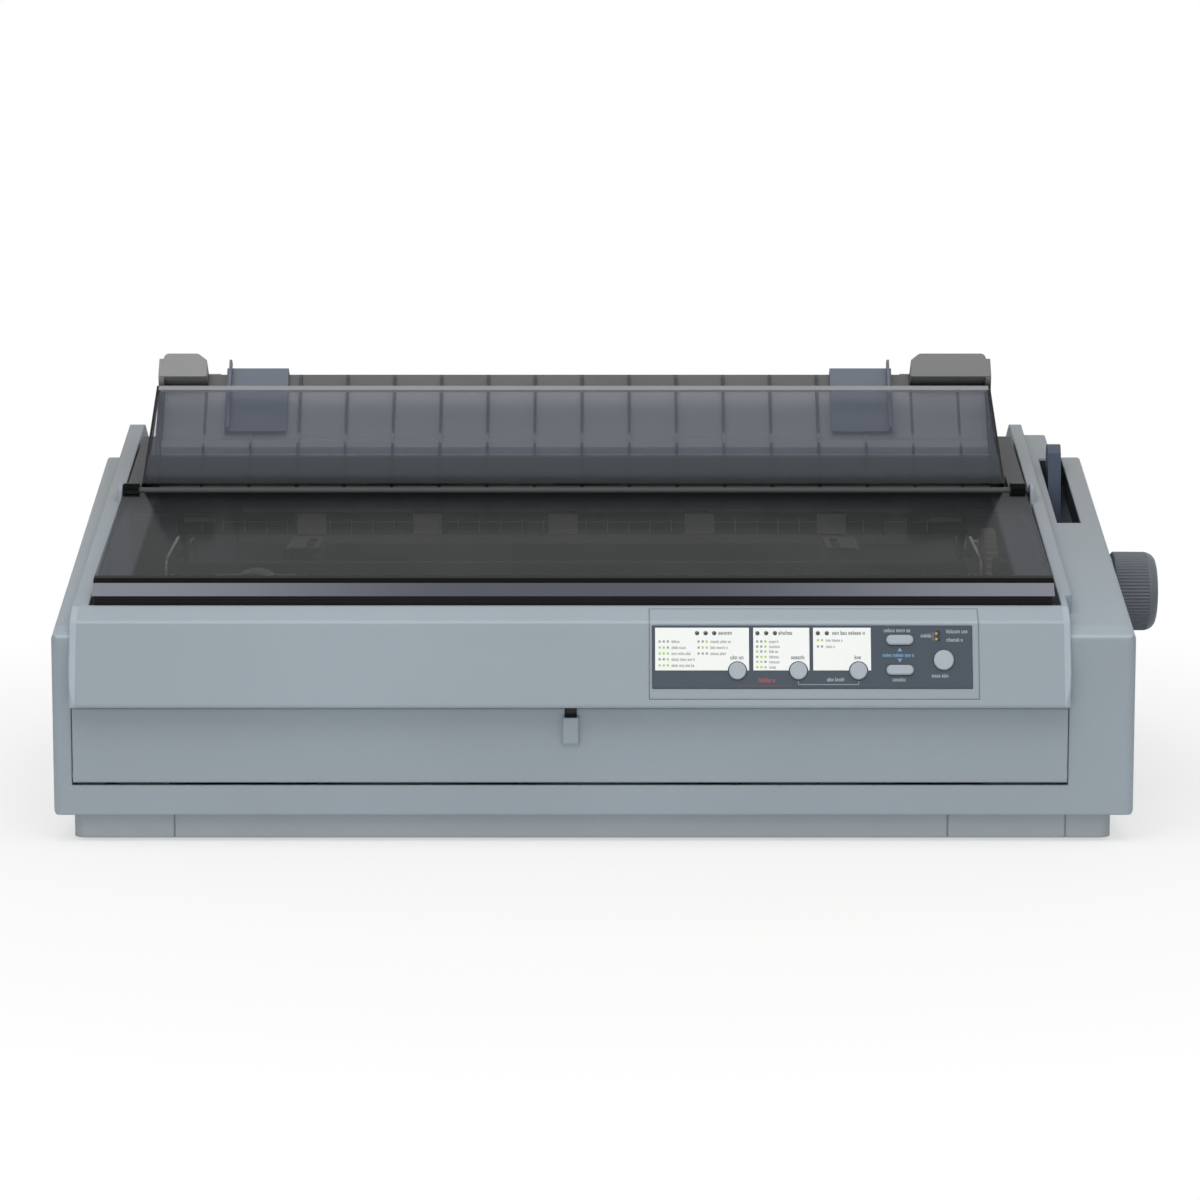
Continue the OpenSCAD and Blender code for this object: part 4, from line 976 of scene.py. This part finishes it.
# a black ribbed strip in the gap under the printer cover's front lip: a dark sheet standing in for the shadow
# there
coverGapShade = {"left": -296.2, "right": 243.9, "back": -171.55, "front": -172.35, "low": 131.4, "high": 138.9,
             "bevel": 0.2, "ribs": 3, "ribStart": 0.8, "ribStep": 2.2, "ribTall": 0.5, "ribOut": 0.3,
             "ribSunk": 0.1, "roughness": 0.8}
bm = bmesh.new()
left, right, front, low = [coverGapShade[key] for key in ("left", "right", "front", "low")]
addBlock(bm, (left, front, low), (right, coverGapShade["back"], coverGapShade["high"]), bevel=coverGapShade["bevel"])
for i in range(coverGapShade["ribs"]):
    foot = low + coverGapShade["ribStart"] + i * coverGapShade["ribStep"]
    addBlock(bm, (left, front - coverGapShade["ribOut"], foot),
             (right, front + coverGapShade["ribSunk"], foot + coverGapShade["ribTall"]))
meshPiece("coverGapShade", bm, rubber("gapShadeRubber", (0.006, 0.006, 0.007), coverGapShade["roughness"]),
          "printer_cover")

headNose = {"low": (-214.6, -64.9, 118.6), "high": (-209.4, -63.45, 128.4), "bevel": 0.3,
            "pins": 12, "columns": (-0.45, 0.45), "middle": -212, "front": -63.5, "firstPin": 119.6,
            "pinPitch": 0.7, "stagger": 0.35, "pin": [(0.14, 0), (0.14, 0.25), (0, 0.27)], "steps": 8}
bm = bmesh.new()
addBlock(bm, headNose["low"], headNose["high"], bevel=headNose["bevel"])
for i in range(headNose["pins"]):
    for side in headNose["columns"]:
        height = headNose["firstPin"] + i * headNose["pinPitch"] + side * headNose["stagger"]
        place = moved(headNose["middle"] + side, headNose["front"], height) @ turned(-90, "X")
        addTurned(bm, headNose["pin"], headNose["steps"], place)
meshPiece("headGuide", bm, platedSteel("headGuideMetal", (0.50, 0.40, 0.22, 1), 0.28),
          "carriage")

beltTeeth = {"pitch": 2.032, "depth": 0.25, "width": 1.0, "low": 80.2, "high": 85.8, "start": -243.5,
             "length": 434, "front": -128.02, "back": -111.98}
bm = bmesh.new()
runs = ((beltTeeth["front"], beltTeeth["front"] + beltTeeth["depth"]),
        (beltTeeth["back"] - beltTeeth["depth"], beltTeeth["back"]))
for i in range(int(beltTeeth["length"] / beltTeeth["pitch"])):
    x = beltTeeth["start"] + i * beltTeeth["pitch"]
    for y0, y1 in runs:
        addBlock(bm, (x, y0, beltTeeth["low"]), (x + beltTeeth["width"], y1, beltTeeth["high"]))
meshPiece("beltTeeth", bm, finishes["rubber"], "casing")

screwShape = {
    "radius": 3.2,
    "height": 1.9,
    "dome": [(1.0, 0), (1.0, 0.5), (0.93, 1.1), (0.7, 1.6), (0.42, 1.9)],  # share of the radius, mm up
    "recess": [(0.40, 0.9), (0, 1.1)],  # share of the radius, mm below the top
    "steps": 24,
    "armLong": 0.40,
    "armHalf": 0.16,
    "armSpan": (1.0, 0.35),  # mm below the top
    "left": -0.268,  # metres, the side frames' outer faces
    "right": 0.215,
    "at": ((-128, 46), (-128, 100), (102, 48), (100, 126), (-60, 48), (40, 48)),
}


def screwHead(bm, place):
    r, h = screwShape["radius"], screwShape["height"]
    profile = [(r * share, up) for share, up in screwShape["dome"]]
    profile += [(r * share, h - down) for share, down in screwShape["recess"]]
    addTurned(bm, profile, screwShape["steps"], place)
    long, wide = r * screwShape["armLong"], screwShape["armHalf"]
    low, high = [h - down for down in screwShape["armSpan"]]
    for turn in (45, 135):
        addBlock(bm, (-long, -wide, low), (long, wide, high), place @ turned(turn, "Z"))


bm = bmesh.new()
for y, z in screwShape["at"]:
    screwHead(bm, Matrix.Translation((screwShape["left"], y * mm, z * mm)) @ turned(-90, "Y"))
    screwHead(bm, Matrix.Translation((screwShape["right"], y * mm, z * mm)) @ turned(90, "Y"))
meshPiece("frameScrews", bm, finishes["ground_steel"], "casing")

pinBelt = {"half": 3.6, "thick": 0.45, "clear": 0.12, "bars": 9, "firstBar": 37.0, "barPitch": 6.35,
           "barHalf": (3.2, 0.6), "barFoot": 134.4, "barTop": 134.85, "barBevel": 0.12}


def tractorBelt(name, pinX, body):
    # the belt's path over the tractor's top and round its ends, (y, z) in mm
    t = pinBelt["clear"]
    path = [(30 - t, 118), (30 - t, 127.6), (30.9, 131.4), (33.0, 133.6), (36.2, 134 + t), (90, 134 + t),
            (93.4, 133.5), (95.3, 131.3), (96 + t, 128.0), (96 + t, 118)]
    bm = bmesh.new()
    rows = []
    for i, (y, z) in enumerate(path):
        before, after = path[max(0, i - 1)], path[min(len(path) - 1, i + 1)]
        run = Vector((0, after[0] - before[0], after[1] - before[1])).normalized()
        foot = Vector((0, y, z))
        head = foot + Vector((0, -run.z, run.y)) * pinBelt["thick"]
        rows.append([bm.verts.new(Vector((pinX + s * pinBelt["half"], p.y, p.z)) * mm)
                     for s, p in ((-1, foot), (1, foot), (1, head), (-1, head))])
    for a, b in zip(rows, rows[1:]):
        for k in range(4):
            bm.faces.new((a[k], a[(k + 1) % 4], b[(k + 1) % 4], b[k]))
    bm.faces.new(rows[0])
    bm.faces.new(rows[-1])
    long, wide = pinBelt["barHalf"]
    for i in range(pinBelt["bars"]):  # cross bars between the pins
        y = pinBelt["firstBar"] + i * pinBelt["barPitch"]
        addBlock(bm, (pinX - long, y - wide, pinBelt["barFoot"]), (pinX + long, y + wide, pinBelt["barTop"]),
                 bevel=pinBelt["barBevel"])
    return meshPiece(name, bm, finishes["rubber"], body)


tractorBelt("leftPinBelt", -190, "tractor_left")
tractorBelt("rightPinBelt", 135, "tractor_right")

rearSockets = {
    "tongues": [  # low corner, high corner and bevel in mm
        ((-222.0, 190.0, 32.2), (-180.0, 198.6, 35.8), 0.5),
        ((-150.6, 188.0, 32.9), (-145.4, 197.5, 36.4), 0.3),
    ],
    "contacts": [  # count, first x, pitch, width, y from and to, z of each row
        (18, -220.4, 2.27, 1.1, (190.5, 197.8), ((31.95, 32.25), (35.75, 36.05))),
        (4, -150.1, 1.18, 0.6, (188.5, 197.0), ((36.35, 36.5),)),
    ],
}
bm = bmesh.new()
for low, high, bevel in rearSockets["tongues"]:
    addBlock(bm, low, high, bevel=bevel)
meshPiece("socketTongues", bm, finishes["cartridge_plastic"], "casing")
bm = bmesh.new()
for count, first, pitch, wide, (y0, y1), rows in rearSockets["contacts"]:
    for i in range(count):
        x = first + i * pitch
        for z0, z1 in rows:
            addBlock(bm, (x, y0, z0), (x + wide, y1, z1))
meshPiece("socketContacts", bm, groundSteel("contactMetal", (0.78, 0.62, 0.32, 1)), "casing")

clipWire = {
    "radius": 0.9,
    "roundSteps": 4,
    "pathSteps": 6,
    "path": [(0, 199.7, 29.4), (2.2, 199.6, 27.6), (3.6, 199.6, 34.0), (2.2, 199.6, 40.4), (0, 199.7, 38.6)],
}
for name, x, side in (("leftBailClip", -233.6, -1), ("rightBailClip", -168.4, 1)):
    curve = bpy.data.curves.new(name, "CURVE")
    curve.dimensions = "3D"
    curve.bevel_depth = clipWire["radius"] * mm
    curve.bevel_resolution = clipWire["roundSteps"]
    curve.resolution_u = clipWire["pathSteps"]
    spline = curve.splines.new("BEZIER")
    spline.bezier_points.add(len(clipWire["path"]) - 1)
    for point, (out, y, z) in zip(spline.bezier_points, clipWire["path"]):
        point.co = Vector((x + side * out, y, z)) * mm
        point.handle_left_type = point.handle_right_type = "AUTO"
    wire = linked(name, curve)
    wire.data.materials.append(finishes["ground_steel"])
    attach(wire, "casing")
print("inside and rear details made")

roomLook = {
    "white": (1, 1, 1, 1),
    "ambient": 0.48,
    "nearFloor": (0.95, 0.95, 0.95, 1),
    "farFloor": (0.45, 0.45, 0.45, 1),
    "nearReach": (0.42, 0.95),  # metres from the middle
    "paper": (30.0, 3.0),
    "paperShare": 0.2,
    "paperTone": 0.97,
    "shadowKept": 0.40,
    "whiteReach": (0.30, 0.75),
    "floorHalf": 12.0,
    "floorCells": 8,
}
roomLamps = [  # name, place, target, size, power, colour, mirrored in glossy surfaces
    ("ceilingLamp", (-0.1, -0.85, 2.0), (0, 0, 0.1), 2.0, 23.5, (1.0, 0.985, 0.96), True),
    ("frontLamp", (-0.5, -2.9, 1.2), (0, 0, 0.12), 1.8, 3, (1.0, 1.0, 1.0), True),
    ("lowLamp", (-0.35, -2.9, 0.2), (0, 0, 0.05), 0.9, 8.5, (1.0, 1.0, 1.0), True),
    ("rearLamp", (0.5, 2.8, 1.2), (0, 0, 0.1), 1.8, 7, (1.0, 1.0, 1.0), False),
]

world = bpy.data.worlds.new("room")
bpy.context.scene.world = world
world.use_nodes = True
sky = Board(world.node_tree)
seen = sky.node("ShaderNodeLightPath", output="Is Camera Ray")
seen = seen + sky.node("ShaderNodeLightPath", output="Is Glossy Ray")
seen = (seen + sky.node("ShaderNodeLightPath", output="Is Transmission Ray")).clipped()
strength = seen * (1.0 - roomLook["ambient"]) + roomLook["ambient"]
glow = sky.node("ShaderNodeBackground", {}, {"Color": roomLook["white"], "Strength": strength})
sky.shown("ShaderNodeOutputWorld", glow)

f = Finish("paleFloor")
x, y = f.axes()[:2]
reach = (x * x + y * y).through("SQRT")
paper = f.noise(*roomLook["paper"])
tone = f.mixed(reach.between(*roomLook["nearReach"]), roomLook["nearFloor"], roomLook["farFloor"])
tone = f.mixed(paper * roomLook["paperShare"], tone, shade(roomLook["nearFloor"], roomLook["paperTone"]))
matt = f.node("ShaderNodeBsdfDiffuse", {}, {"Color": tone})
white = f.node("ShaderNodeEmission", {}, {"Color": roomLook["white"], "Strength": 1.0})
seen = f.node("ShaderNodeLightPath", output="Is Camera Ray")
kept = roomLook["shadowKept"]
cover = reach.between(*roomLook["whiteReach"]) * kept + (1.0 - kept)
f.shown("ShaderNodeOutputMaterial", f.node("ShaderNodeMixShader", {}, {0: seen * cover, 1: matt, 2: white}))
bm = bmesh.new()
bmesh.ops.create_grid(bm, x_segments=roomLook["floorCells"], y_segments=roomLook["floorCells"],
                      size=roomLook["floorHalf"])
data = bpy.data.meshes.new("floor")
bm.to_mesh(data)
bm.free()
data.materials.append(f.material)
floor = linked("floor", data)

for name, place, target, size, power, colour, mirrored in roomLamps:
    data = bpy.data.lights.new(name, "AREA")
    data.shape = "SQUARE"
    data.size = size
    data.energy = power
    data.color = colour
    lamp = linked(name, data)
    lamp.location = place
    lamp.rotation_euler = (Vector(target) - lamp.location).to_track_quat("-Z", "Y").to_euler()
    lamp.visible_glossy = mirrored

cameraFit = {"place": (-0.0148, -2.3854, 0.4472), "down": 8.0, "focal": 118.944, "sensor": 36.0,
             "shiftX": 0.00542, "clip": (0.05, 60)}
lensData = bpy.data.cameras.new("photoCamera")
lensData.lens = cameraFit["focal"]
lensData.sensor_width = cameraFit["sensor"]
lensData.sensor_fit = "HORIZONTAL"
lensData.shift_x = cameraFit["shiftX"]
lensData.clip_start, lensData.clip_end = cameraFit["clip"]
camera = linked("photoCamera", lensData)
camera.location = cameraFit["place"]
camera.rotation_euler = (math.radians(90 - cameraFit["down"]), 0, 0)
bpy.context.scene.camera = camera
bpy.context.scene.view_settings.view_transform = "Standard"
print("floor, lamps and camera set")
